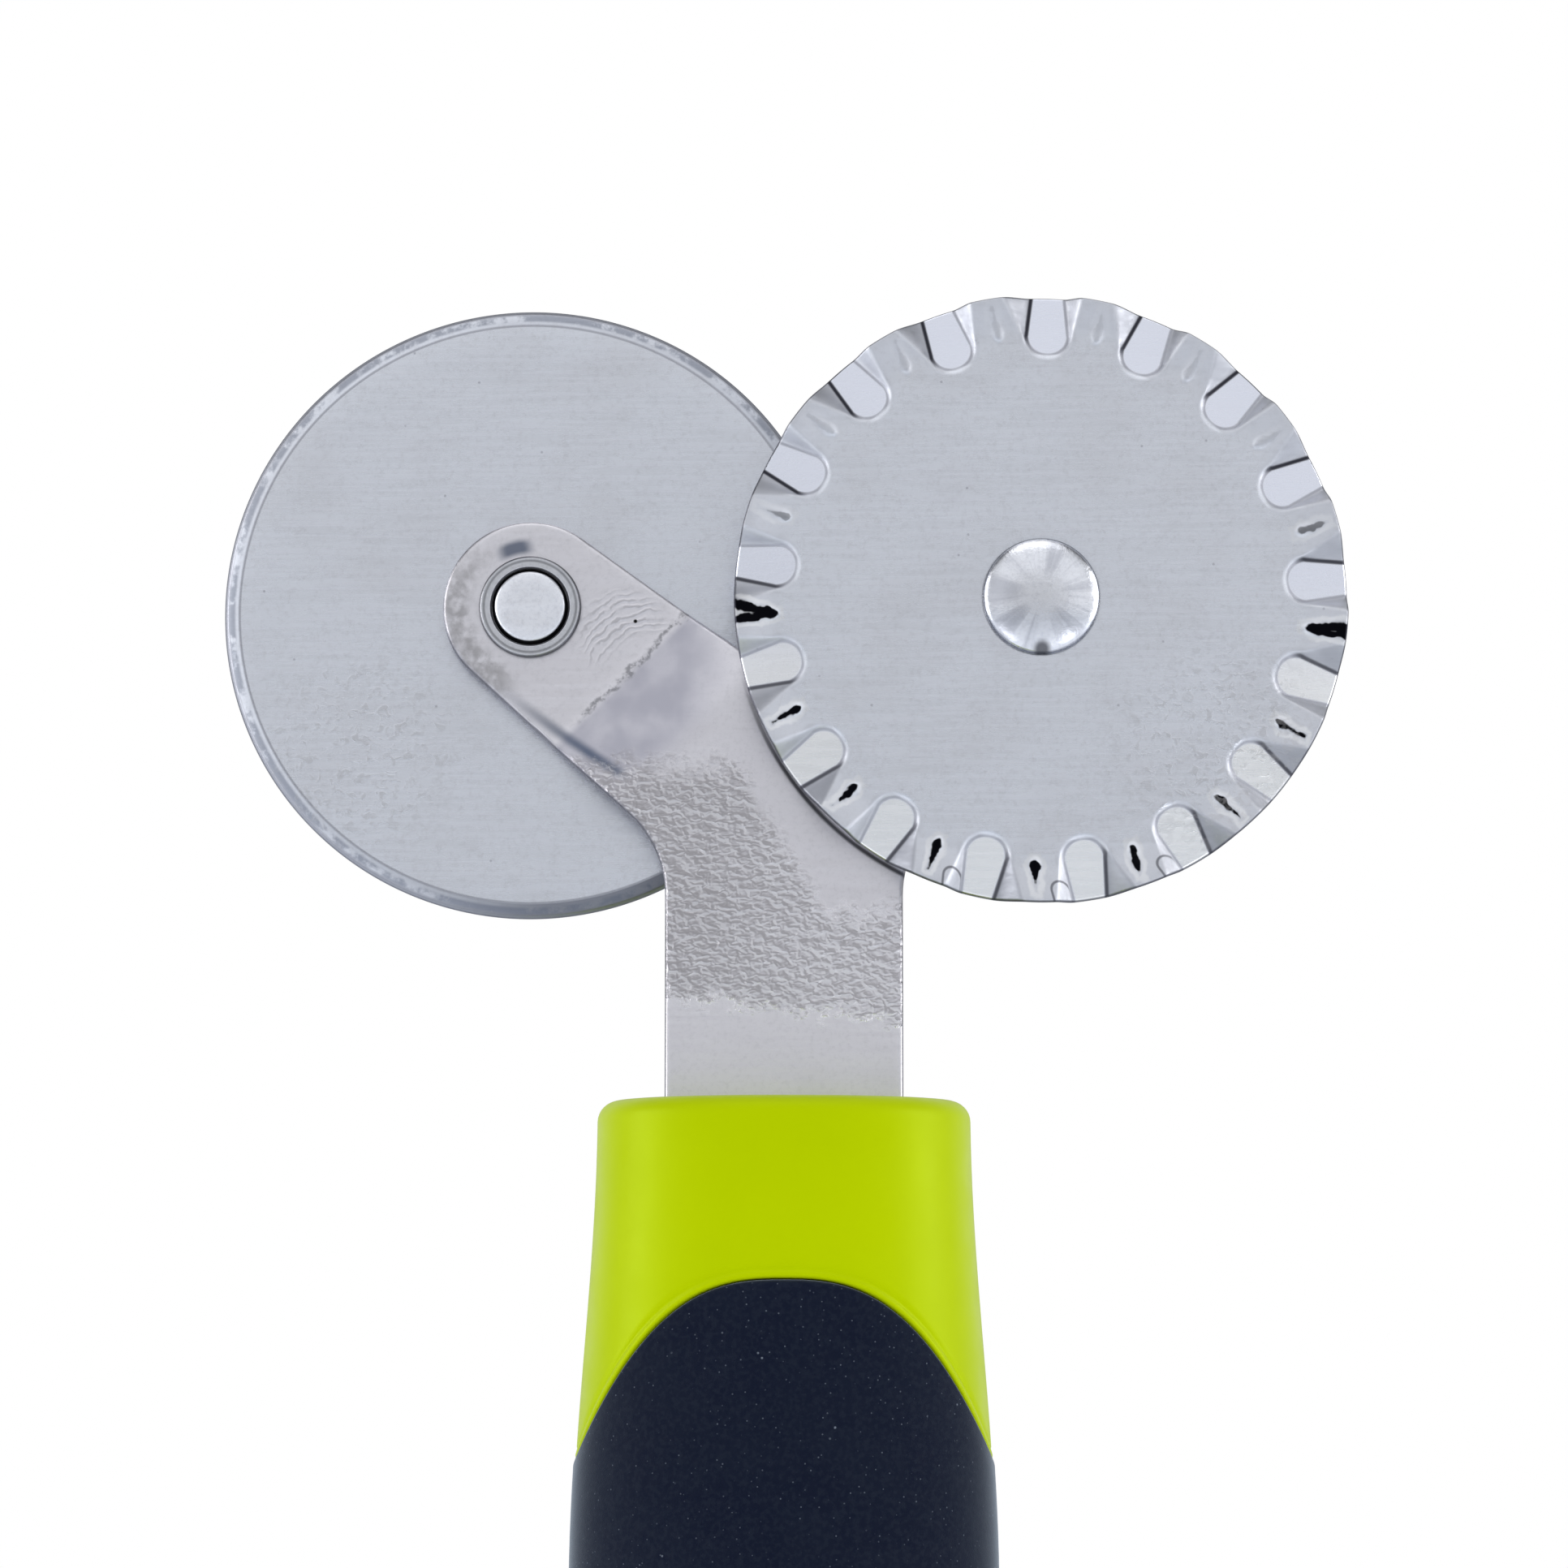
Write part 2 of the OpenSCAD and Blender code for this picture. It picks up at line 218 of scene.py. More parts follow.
def corner_arc(before, corner, after, radius, steps=5):
    """Points that round one corner of a profile."""
    a, c, b = Vector(before), Vector(corner), Vector(after)
    a_way, b_way = (a - c), (b - c)
    cut = min(radius, a_way.length / 2, b_way.length / 2)
    start, end = c + a_way.normalized() * cut, c + b_way.normalized() * cut
    points = []
    for t in spread(0, 1, steps):
        points.append(start * (1 - t) ** 2 + c * 2 * t * (1 - t) + end * t * t)
    return points


def rounded(profile, radius):
    """A closed profile with its corners rounded. Corners on the axis stay sharp."""
    out = []
    count = len(profile)
    for i, corner in enumerate(profile):
        if corner[0] < ON_AXIS:
            out.append(Vector(corner))
        else:
            out += corner_arc(profile[i - 1], corner, profile[(i + 1) % count], radius)
    return out


def lathe(name, profile, axle, side, body, stands_for=(), segments=192):
    """Turns a closed profile of (radius, distance out from the tang's plane) about an axle."""
    points, faces, rings = [], [], []
    for radius, out in profile:
        if radius < ON_AXIS:
            rings.append([len(points)] * segments)
            points.append((axle.x, out * side, axle.z))
            continue
        rings.append(list(range(len(points), len(points) + segments)))
        for i in range(segments):
            a = TAU * i / segments
            points.append((axle.x + radius * math.sin(a), out * side, axle.z + radius * math.cos(a)))
    for ring, following in zip(rings, rings[1:] + rings[:1]):
        for i in range(segments):
            n = (i + 1) % segments
            corners = dict.fromkeys((ring[i], ring[n], following[n], following[i]))
            if len(corners) > 2:
                faces.append(tuple(corners))
    return new_object(name, points, faces, body, stands_for)


# ---- wheels ----

def plain_wheel():
    """A flat disc. The profile of each face is (radius, drop below the face)."""
    near, far = reach("plain_wheel", PLAIN_SIDE)
    middle = (near + far) / 2
    bevel_r, edge_r = WHEEL_R - BEVEL_W, WHEEL_R - EDGE_W
    face = [(BORE_R, 0)] + [(bevel_r * share, 0) for share in (0.3, 0.5, 0.7, 0.9)]
    face += [(bevel_r - 0.05, 0), (bevel_r + 0.05, 0.01)]
    face += [(edge_r - 0.03, BEVEL_DROP - 0.005), (edge_r + 0.03, BEVEL_DROP + 0.03)]
    edge = [(WHEEL_R - 0.02, middle - EDGE_T / 2), (WHEEL_R, middle), (WHEEL_R - 0.02, middle + EDGE_T / 2)]
    profile = [(r, near + drop) for r, drop in face] + edge + [(r, far - drop) for r, drop in face[::-1]]
    return lathe("plain_wheel_disc", profile, PLAIN_AXLE, PLAIN_SIDE, "cutting_wheel",
                 ["plain_wheel"], segments=360)


def flute_shape(r, arc, low, lean):
    """The sheet's height at radius r, then the distances from the pocket's edge, the fold and the rim's curl.

    arc is the distance round from the nearest pocket's middle, positive clockwise. low is the height below
    the axle: level with it, the fold opens towards the rim. lean slants the fold.
    """
    pitch = TAU / FLUTE_N * r
    rim = clamp((r - RIDGE_START) / (FLUTED_R - RIDGE_START))
    half = POCKET_END_R - POCKET_NARROWING * rim
    end_centre = POCKET_START + POCKET_END_R
    outside = abs(arc) - half if r > end_centre else math.hypot(arc, end_centre - r) - POCKET_END_R
    wall = WALL_W + (WALL_SPREAD_BEFORE if arc < 0 else WALL_SPREAD_AFTER) * rim
    pocket = 1 - smooth(outside / wall)
    depth = lerp(POCKET_STEP, POCKET_DEPTH, clamp((r - POCKET_START) / (FLUTED_R - POCKET_START)))
    ridge = RIDGE_HEIGHT * smooth(rim) ** 1.2

    along = (r - RIDGE_START) / FOLD_LENGTH
    beside = abs((arc if arc > 0 else arc + pitch) - pitch / 2 + lean * along)
    level = smooth(1 - abs(low) / FOLD_OPEN_BAND)
    rounded_start = math.sqrt(clamp(along / 0.2))
    fold_half = FOLD_HALF * rounded_start * lerp(1 - clamp(along), 0.8 + 1.4 * along, level)
    fold = max(beside - fold_half, -along * FOLD_LENGTH, (along - lerp(1, 2, level)) * FOLD_LENGTH)
    nose = (1 - smooth(fold / 0.4 + 0.3)) * (1 - clamp(along))

    curl = math.hypot(arc - half - CURL_R - 0.1, min(0, r - FLUTED_R + 0.7)) - CURL_R
    height = (1 - pocket) * ridge - pocket * depth + nose * FOLD_RISE
    return height, outside, fold, curl


def fluted_wheel():
    """Front and back of the pressed sheet, joined at the rim and the bore, with the distances painted on."""
    per_flute = 64
    columns = FLUTE_N * per_flute
    radii = [BORE_R, 4, 6, 8, 10, 12, 14] + spread(15.2, FLUTED_R - SHEET_EDGE, 37)
    front, back, places, marks = [], [], [], []
    for r in radii:
        for c in range(columns):
            arc = ((c / per_flute + 0.5) % 1 - 0.5) * TAU / FLUTE_N * r
            a = TAU * c / columns + FLUTE_TURN
            lean = FOLD_LEAN * math.sin(2.4 * (c // per_flute))
            height, outside, fold, curl = flute_shape(r, arc, -r * math.cos(a), lean)
            x, z = FLUTED_AXLE.x + r * math.sin(a), FLUTED_AXLE.z + r * math.cos(a)
            front.append((x, -(FLUTED_MID + height + SHEET_T / 2), z))
            back.append((x, -(FLUTED_MID + height - SHEET_T / 2), z))
            places.append((outside, fold, curl))
            marks.append((arc, FLUTED_AXLE.z - z, x - FLUTED_AXLE.x))
    rim = []
    outer = (len(radii) - 1) * columns
    for c in range(columns):
        x, y, z = (Vector(front[outer + c]) + Vector(back[outer + c])) / 2
        out = Vector((x - FLUTED_AXLE.x, 0, z - FLUTED_AXLE.z)).normalized() * SHEET_EDGE
        rim.append((x + out.x, y, z + out.z))
    rows = split_rows(front, columns) + [rim] + split_rows(back, columns)[::-1]
    faces = grid_faces(len(rows), columns, True)
    points = sum(rows, [])
    piece = new_object("fluted_wheel_disc", points, faces, "crimping_wheel", ["fluted_wheel"])
    for name, values in (("press", places), ("press_place", marks)):
        painted = split_rows(values, columns)
        paint(piece, name, sum(painted + [painted[-1]] + painted[::-1], []))
    return piece


def split_rows(values, columns):
    """A flat list cut into rows."""
    return [values[start:start + columns] for start in range(0, len(values), columns)]


def shade(piece, tones):
    """Stores how much painted shade each vertex gets, from 0 to 1, for dark outlines and grooves."""
    paint(piece, "shade", [(tone, 0, 0) for tone in tones])


def shade_round(piece, axle, side, tone):
    """Paints shade on a turned piece by a function of its radius and its distance out."""
    places = [v.co / MM for v in piece.data.vertices]
    shade(piece, [tone(math.hypot(p.x - axle.x, p.z - axle.z), p.y * side) for p in places])
    return piece


def paint(piece, name, values):
    """Stores three numbers per vertex for the material to read."""
    layer = piece.data.attributes.new(name, "FLOAT_VECTOR", "POINT")
    for item, value in zip(layer.data, values):
        item.vector = value


# ---- rivets, collars ----

def rivet(name, node, axle, side):
    """A domed head on the wheel, a shank through the fork and a staked end on the collar, with painted shade
    at the head's rim and on the staked end's side.
    """
    foot, top = reach(node, side)
    seat = top - HEAD_H
    wall, dome_power = 0.2, 0.72
    head = [(0, top)]
    for s in spread(0.06, 1, 22):
        head.append((HEAD_R * s, seat + wall + (HEAD_H - wall) * (1 - s * s) ** dome_power))
    under = [(HEAD_R - 0.04, seat + 0.06), (HEAD_R - 0.12, seat), (SHANK_R, seat)]
    staked = [(SHANK_R, foot + 0.5), (STAKED_R, foot + 0.4), (STAKED_R, foot + 0.18)]
    staked += [(STAKED_R - 0.05, foot + 0.06), (STAKED_R - 0.18, foot), (1.5, foot), (0, foot)]
    piece = lathe(name, head + under + staked, axle, side, BODY, [node])
    middle = (foot + top) / 2

    # Painted shade: a dark line round the head's rim, and dark on the staked end's side and the shank.
    def tone(radius, out):
        if out > middle:
            return 0.8 * smooth((radius - HEAD_R + 0.16) / 0.1)
        return smooth((radius - STAKED_R + 0.07) / 0.07)
    return shade_round(piece, axle, side, tone)


def collar(name, node, axle, side):
    """A ring round the staked end, its outer edge rounded and a groove inside it, with painted shade in the
    groove, in a hollow at its waist and at its outer edge.
    """
    bottom, seat = reach(node, side)
    profile = [
        (SHANK_R + 0.02, seat), (COLLAR_R, seat), (COLLAR_R, bottom + 0.2), (COLLAR_R - 0.14, bottom),
        *[(r, bottom) for r in spread(COLLAR_R - 0.2, SHANK_R + 0.15, 6)], (SHANK_R + 0.02, bottom + 0.2),
    ]
    piece = lathe(name, rounded(profile, 0.06), axle, side, BODY, [node])
    waist = COLLAR_R - 0.32

    # Painted shade in the groove by the shank, in the hollow at the waist and at the outer edge, over an even
    # darker tone on the whole collar.
    def tone(radius, out):
        groove = 1 - smooth((radius - SHANK_R + 0.02) / 0.1)
        hollow = 0.72 * (1 - smooth(abs(radius - waist) / 0.22))
        return max(groove, 0.36, hollow, 0.95 * smooth((radius - COLLAR_R + 0.17) / 0.08))
    return shade_round(piece, axle, side, tone)


# ---- fork plate ----

def arc_points(centre, radius, start, end, steps):
    """Points on an arc in the XZ plane. Angles are in radians from +X towards +Z."""
    return [
        (centre[0] + radius * math.cos(a), centre[1] + radius * math.sin(a))
        for a in spread(start, end, steps)
    ]


def arm_side(mirror):
    """Half of the fork's outline, from the crotch to the tang. mirror is 1 for the arm at -X and -1 at +X."""
    axle_x, axle_z = PLAIN_AXLE.x, PLAIN_AXLE.z
    meet = axle_z + LOBE_R / math.cos(UPPER_SLOPE) + axle_x * math.tan(UPPER_SLOPE)
    crotch = (0, meet + CROTCH_R / math.cos(UPPER_SLOPE))
    neck_meet = axle_z - LOBE_R / math.cos(LOWER_SLOPE) - (-axle_x - TANG_HALF) * math.tan(LOWER_SLOPE)
    neck = (-TANG_HALF - NECK_R, neck_meet - NECK_R * math.tan((math.pi / 2 - LOWER_SLOPE) / 2))
    quarter = math.pi / 2
    points = arc_points(crotch, CROTCH_R, -quarter, -quarter - UPPER_SLOPE, 8)
    points += arc_points((axle_x, axle_z), LOBE_R, quarter - UPPER_SLOPE, math.pi + quarter - LOWER_SLOPE, 48)
    points += arc_points(neck, NECK_R, quarter - LOWER_SLOPE, 0, 12)
    points.append((-TANG_HALF, TANG_SHOWN_TO))
    return [(x * mirror, z) for x, z in points]


def fork_outline():
    """The plate's outline as a closed run of (x, z), evenly split along its straight edges."""
    left, right = arm_side(1), arm_side(-1)
    corners = left + right[::-1][:-1]
    outline = []
    for (ax, az), (bx, bz) in zip(corners, corners[1:] + corners[:1]):
        pieces = max(1, round(math.hypot(bx - ax, bz - az) / 0.8))
        outline += [(lerp(ax, bx, i / pieces), lerp(az, bz, i / pieces)) for i in range(pieces)]
    return outline


def inset(outline, amount):
    """The outline moved inwards by an amount, along its own normals."""
    count = len(outline)
    moved = []
    for i, (x, z) in enumerate(outline):
        (ax, az), (bx, bz) = outline[i - 1], outline[(i + 1) % count]
        length = math.hypot(bx - ax, bz - az)
        moved.append((x - (bz - az) / length * amount, z + (bx - ax) / length * amount))
    return moved


def sheet_offset(x, z):
    """How far the fork's middle surface stands out of the tang's plane, towards +Y."""
    along = (abs(PLAIN_AXLE.x) - abs(x) + PLAIN_AXLE.z - z) / math.sqrt(2)
    out = JOGGLE * (1 - bend_ease((along - BEND_NEAR) / (BEND_FAR - BEND_NEAR)))
    return out if x < 0 else -out


def bend_ease(t):
    """A straight ramp whose two bends are rounded."""
    soft = 0.16
    if t <= -soft:
        return 0.0
    if t < soft:
        return (t + soft) ** 2 / (4 * soft)
    if t <= 1 - soft:
        return t
    if t < 1 + soft:
        return 1 - (1 + soft - t) ** 2 / (4 * soft)
    return 1.0


def fork_plate():
    """The outline extruded with rolled edges, cut into small cells, then bent along the joggles, with painted
    shade stored for its edges.
    """
    outline = fork_outline()
    count = len(outline)
    bm = bmesh.new()
    half = PLATE_T / 2
    rings = []
    for t in spread(0, math.pi / 2, 4):
        rings.append((PLATE_EDGE * (1 - math.sin(t)), half - PLATE_EDGE * (1 - math.cos(t))))
    levels = rings + [(step, -level) for step, level in rings[::-1]]
    loops = []
    for step, level in levels:
        loops.append([bm.verts.new((x, level, z)) for x, z in inset(outline, step)])
    for lower, upper in zip(loops, loops[1:]):
        for i in range(count):
            n = (i + 1) % count
            bm.faces.new((lower[i], lower[n], upper[n], upper[i]))
    bm.faces.new(loops[0])
    bm.faces.new(loops[-1][::-1])
    bmesh.ops.recalc_face_normals(bm, faces=bm.faces)
    cut_cells(bm, 0.6)
    bm.normal_update()
    # Painted shade along the edges, fainter where they face up.
    tones = [edge_tone(half - abs(v.co.y)) * lerp(1, 0.4, smooth(v.normal.z + 0.5)) for v in bm.verts]
    for v in bm.verts:
        v.co.y += sheet_offset(v.co.x, v.co.z)
        v.co *= MM
    mesh = bpy.data.meshes.new("fork")
    bm.to_mesh(mesh)
    bm.free()
    piece = new_piece("fork", mesh, BODY, ["fork_plate"])
    shade(piece, tones)
    weigh_normals(piece)
    return piece


def edge_tone(depth):
    """Painted shade on the plate's edges: dark where the rolled edge begins, and a duller grey on the sheared
    side.
    """
    return 0.95 * smooth(depth / 0.05) * (1 - 0.5 * smooth((depth - PLATE_EDGE) / 0.2))


def cut_cells(bm, size):
    """Splits the faces along two families of planes at 45 degrees, which follow both joggles' bends."""
    middle = Vector((0, 0, PLAIN_AXLE.z))
    for slant in (1, -1):
        normal = Vector((slant, 0, -1)).normalized()
        ends = [(v.co - middle).dot(normal) for v in bm.verts]
        for distance in spread(min(ends), max(ends), round((max(ends) - min(ends)) / size))[1:-1]:
            geometry = bm.verts[:] + bm.edges[:] + bm.faces[:]
            bmesh.ops.bisect_plane(bm, geom=geometry, dist=1e-4, plane_co=middle + normal * distance,
                                   plane_no=normal)


def weigh_normals(piece):
    weighted = piece.modifiers.new("flat faces", "WEIGHTED_NORMAL")
    weighted.keep_sharp = True
    weighted.weight = 80


# ---- handle ----

def ease(t):
    return (1 - math.cos(math.pi * t)) / 2


def swell(z, which):
    """Half-width (which = 0) or half-depth (which = 1) of the handle at height z."""
    top, belly, tail = TOP_SIZE[which], BELLY_SIZE[which], TAIL_SIZE[which]
    if z > BELLY_Z:
        return lerp(top, belly, ease((HANDLE_TOP - z) / (HANDLE_TOP - BELLY_Z)))
    return lerp(belly, tail, ease((BELLY_Z - z) / (BELLY_Z - TIP_Z)))


def end_share(z, power):
    below = clamp((TIP_Z + END_ROUND - z) / END_ROUND)
    return (1 - below ** power) ** (1 / power)


def sign_power(value, power):
    return math.copysign(abs(value) ** power, value)


def handle_point(turn, z, grow=0.0, share=1.0):
    """A point of the handle's surface: turn is the share of a turn round from +X, grow moves it outwards."""
    a = TAU * turn
    w = (swell(z, 0) + grow) * end_share(z, 2) * share
    d = (swell(z, 1) + grow) * end_share(z, 3) * share
    return (w * sign_power(math.cos(a), 2 / SECTION_POWER), d * sign_power(math.sin(a), 2 / SECTION_POWER), z)


def arch_height(turn):
    """Height of the grip's upper edge on the handle's surface, at one turn round it."""
    z = ARCH_Z - ARCH_H / 2
    for _ in range(40):
        x = handle_point(turn, z)[0]
        z = lerp(z, ARCH_Z - ARCH_H * min(1, abs(x) / ARCH_HALF_W) ** ARCH_POWER, 0.5)
    return z


def arch_steepness(turn):
    """How much longer a step across the edge is when it is measured along Z."""
    step = 0.002
    before, after = arch_height(turn - step), arch_height(turn + step)
    start, end = Vector(handle_point(turn - step, before)[:2]), Vector(handle_point(turn + step, after)[:2])
    return math.hypot(1, (after - before) / max((end - start).length, 1e-6))


TURNS = [i / HANDLE_COLUMNS for i in range(HANDLE_COLUMNS)]
EDGES = [(arch_height(t), arch_steepness(t)) for t in TURNS]


def handle_rows(rows):
    """Points for rows that are each a function of (turn, edge height, steepness)."""
    return [row(t, edge, steep) for row in rows for t, (edge, steep) in zip(TURNS, EDGES)]


def side_row(level, grow=0.0, share=1.0):
    return lambda t, edge, steep: handle_point(t, level, grow, share)


def below_edge_row(drop, grow, share=0.0, floor=0.0):
    """A row a fixed drop below the arch, or a share of the way from there down to a floor level."""
    return lambda t, edge, steep: handle_point(t, lerp(edge - drop * steep, floor, share), grow)


def above_edge_row(share, ceiling):
    """A row a share of the way down from a ceiling level to the lip above the arch."""
    return lambda t, edge, steep: handle_point(t, lerp(ceiling, edge + LIP * steep, share))


def handle_shell():
    """The shell from its rounded top down over the lip, then the core under the grip."""
    bend = HANDLE_TOP - TOP_ROUND
    rows = [side_row(HANDLE_TOP, -TOP_ROUND, share) for share in (0.02, 0.35, 0.7, 0.93)]
    for a in spread(0, math.pi / 2, 8):
        rows.append(side_row(bend + TOP_ROUND * math.cos(a), TOP_ROUND * (math.sin(a) - 1)))
    rows += [above_edge_row(share, bend) for share in spread(0, 1, 30)[1:]]
    rows += [below_edge_row(-LIP * drop, grow) for drop, grow in LIP_SHAPE]
    rows += [below_edge_row(0, -GRIP_T)]
    rows += [below_edge_row(0.2, -GRIP_T, share, CAP_TOP) for share in spread(0, 1, 12)]
    rows += [side_row(CAP_TOP, -GRIP_T, share) for share in (0.6, 0.02)]
    faces = grid_faces(len(rows), HANDLE_COLUMNS)
    last = (len(rows) - 1) * HANDLE_COLUMNS
    faces += [tuple(range(HANDLE_COLUMNS)), tuple(range(last, last + HANDLE_COLUMNS))]
    return new_object("lime_shell", handle_rows(rows), faces, BODY, ["handle_shell"])


def soft_grip():
    """The sleeve round the core, with a rounded upper edge and an eased lower one."""
    bottom = CAP_TOP + 0.1
    rows = [below_edge_row(GROOVE, -GRIP_T + 0.05), below_edge_row(GROOVE, -0.25)]
    for a in spread(0, math.pi / 2, 5):
        rows.append(below_edge_row(GROOVE + 0.3 * (1 - math.cos(a)), GRIP_PROUD + 0.3 * (math.sin(a) - 1)))
    rows += [below_edge_row(GROOVE + 0.3, GRIP_PROUD, share, bottom + 0.25) for share in spread(0, 1, 60)[1:]]
    for a in spread(0, math.pi / 2, 4)[1:]:
        rows.append(side_row(bottom + 0.25 * (1 - math.sin(a)), GRIP_PROUD - 0.25 * (1 - math.cos(a))))
    rows += [side_row(bottom, -GRIP_T + 0.05)]
    rows += [below_edge_row(GROOVE, -GRIP_T + 0.05, share, bottom) for share in (0.8, 0.6, 0.4, 0.2)]
    return new_object("grip", handle_rows(rows), grid_faces(len(rows), HANDLE_COLUMNS, True), BODY,
                      ["soft_grip"])


def end_cap():
    """The rounded end, with the hanging hole cut through it and eased at its rims."""
    rows = [side_row(CAP_TOP, -0.3, share) for share in (0.02, 0.6)]
    for a in spread(0, math.pi / 2, 4):
        rows.append(side_row(CAP_TOP - 0.3 * (1 - math.cos(a)), 0.3 * (math.sin(a) - 1)))
    rows += [side_row(z) for z in spread(CAP_TOP - 0.3, TIP_Z + END_ROUND, 6)[1:]]
    rows += [side_row(TIP_Z + END_ROUND * (1 - math.sin(a))) for a in spread(0, math.pi / 2 * 0.985, 26)[1:]]
    faces = grid_faces(len(rows), HANDLE_COLUMNS)
    last = (len(rows) - 1) * HANDLE_COLUMNS
    faces += [tuple(range(HANDLE_COLUMNS)), tuple(range(last, last + HANDLE_COLUMNS))]
    piece = new_object("lime_end_cap", handle_rows(rows), faces, BODY, ["end_cap"])
    cut_hang_hole(piece)
    return piece


def cut_hang_hole(piece):
    """Cuts a straight hole that flares from 5.4 mm out, with a turned cutter that reaches past the cap."""
    start, end = 5.4, 7.0
    outer = [(HANG_R + 3, end)]
    for a in spread(0, math.pi / 2, 6)[::-1]:
        outer.append((HANG_R + HANG_FLARE * (1 - math.cos(a)), start + HANG_FLARE * math.sin(a)))
    profile = [(0, -end)] + [(r, -y) for r, y in outer] + outer[::-1] + [(0, end)]
    cutter = lathe("hole_cutter", profile, Vector((0, 0, HANG_Z)), 1, BODY, segments=64)
    cut = piece.modifiers.new("hole", "BOOLEAN")
    cut.object, cut.operation, cut.solver = cutter, "DIFFERENCE", "EXACT"
    bpy.context.view_layer.update()
    made = bpy.data.meshes.new_from_object(piece.evaluated_get(bpy.context.evaluated_depsgraph_get()))
    piece.modifiers.clear()
    piece.data = made
    bpy.data.objects.remove(cutter)


# ---- finishes ----

def even(fineness):
    """The same fineness along x, y and z."""
    return (fineness, fineness, fineness)


class Finish:
    """A procedural material: a Principled shader and the nodes that feed it, with patterns in millimetres."""

    def __init__(self, name, colour, metallic, roughness, **others):
        self.material = bpy.data.materials.new(name)
        self.material.use_nodes = True
        self.tree = self.material.node_tree
        self.shader = self.tree.nodes["Principled BSDF"]
        self.colour, self.roughness = (*colour, 1), roughness
        self.put(self.shader, "Base Color", self.colour)
        self.put(self.shader, "Metallic", metallic)
        self.put(self.shader, "Roughness", roughness)
        for socket, value in others.items():
            self.put(self.shader, socket.replace("_", " "), value)
        place = self.add("ShaderNodeTexCoord").outputs["Object"]
        self.place = self.vector_math("SCALE", place, 1 / MM)
        self.bumped = None

    def put(self, node, socket, value):
        """Links a socket, or sets its value."""
        if isinstance(value, bpy.types.NodeSocket):
            self.tree.links.new(value, node.inputs[socket])
        else:
            node.inputs[socket].default_value = value

    def add(self, kind, **properties):
        node = self.tree.nodes.new(kind)
        for name, value in properties.items():
            setattr(node, name, value)
        return node

    def vector_math(self, operation, a, b):
        node = self.add("ShaderNodeVectorMath", operation=operation)
        self.put(node, 0, a)
        self.put(node, "Scale" if operation == "SCALE" else 1, b)
        return node.outputs["Value" if operation in ("LENGTH", "DISTANCE") else "Vector"]

    def math(self, operation, a, b=0.0):
        node = self.add("ShaderNodeMath", operation=operation)
        self.put(node, 0, a)
        self.put(node, 1, b)
        return node.outputs[0]

    def fade(self, value, low, high, start=0.0, end=1.0):
        """Goes smoothly from start to end as value goes from low to high."""
        node = self.add("ShaderNodeMapRange", interpolation_type="SMOOTHSTEP")
        for socket, number in (("Value", value), ("From Min", low), ("From Max", high)):
            self.put(node, socket, number)
        self.put(node, "To Min", start)
        self.put(node, "To Max", end)
        return node.outputs["Result"]

    def noise(self, fineness, detail=2.0, lumps=0.5, warp=0.0, place=None):
        """A noise whose grain is fineness cells per millimetre along x, y and z."""
        scaled = self.vector_math("MULTIPLY", place or self.place, fineness)
        node = self.add("ShaderNodeTexNoise")
        for socket, value in (("Vector", scaled), ("Scale", 1.0), ("Detail", detail), ("Roughness", lumps),
                              ("Distortion", warp)):
            self.put(node, socket, value)
        return node.outputs[0]

    def cells(self, fineness):
        """Distance to the nearest of many scattered points, fineness of them per millimetre."""
        node = self.add("ShaderNodeTexVoronoi")
        self.put(node, "Vector", self.vector_math("MULTIPLY", self.place, fineness))
        self.put(node, "Scale", 1.0)
        return node.outputs["Distance"]

    def axes(self):
        """The place's x, y and z."""
        return self.split(self.place)

    def split(self, vector):
        node = self.add("ShaderNodeSeparateXYZ")
        self.put(node, 0, vector)
        return [node.outputs[axis] for axis in "XYZ"]

    def painted(self, name):
        """The three outputs of a vertex attribute."""
        return self.split(self.add("ShaderNodeAttribute", attribute_name=name).outputs["Vector"])

    def near(self, value, middle, core, reach):
        """1 where value is within core of middle, fading to 0 at reach."""
        return self.fade(self.math("ABSOLUTE", self.math("SUBTRACT", value, middle)), core, reach, 1, 0)

    def both(self, *masks):
        """The product of masks and strengths."""
        product = masks[0]
        for mask in masks[1:]:
            product = self.math("MULTIPLY", product, mask)
        return product

    def away_from(self, centre):
        """Distance from a line along Y through a point."""
        flat = self.vector_math("MULTIPLY", self.place, (1, 0, 1))
        return self.vector_math("DISTANCE", flat, (centre.x, 0, centre.z))

    def tint(self, amount, colour):
        """Mixes a colour over the base by an amount from 0 to 1."""
        node = self.add("ShaderNodeMix", data_type="RGBA")
        self.put(node, "Factor", amount)
        self.put(node, 6, self.colour)
        self.put(node, 7, (*colour, 1))
        self.colour = node.outputs[2]
        self.put(self.shader, "Base Color", self.colour)

    def roughen(self, change):
        """Adds to the roughness."""
        self.roughness = self.math("ADD", self.roughness, change)
        self.put(self.shader, "Roughness", self.roughness)

    def bump(self, height, depth_mm, strength=1.0):
        """Raises the surface where height is larger. One bump is laid over the one before."""
        node = self.add("ShaderNodeBump")
        self.put(node, "Strength", strength)
        self.put(node, "Distance", depth_mm * MM)
        self.put(node, "Height", height)
        if self.bumped:
            self.put(node, "Normal", self.bumped)
        self.bumped = node.outputs["Normal"]
        self.put(self.shader, "Normal", self.bumped)


def lime_finish():
    """Satin lime plastic with a faintly uneven gloss."""
    look = Finish("lime_plastic", (0.5, 0.635, 0.0), 0.0, 0.36, Specular_Tint=(0.5, 0.7, 0.0, 1))
    look.tint(look.fade(look.noise(even(0.08)), 0.3, 0.7, 0, 0.6), (0.455, 0.59, 0.0))
    look.roughen(look.fade(look.noise(even(0.4)), 0.3, 0.7, -0.03, 0.05))
    look.bump(look.noise(even(9)), 0.004)
    return look


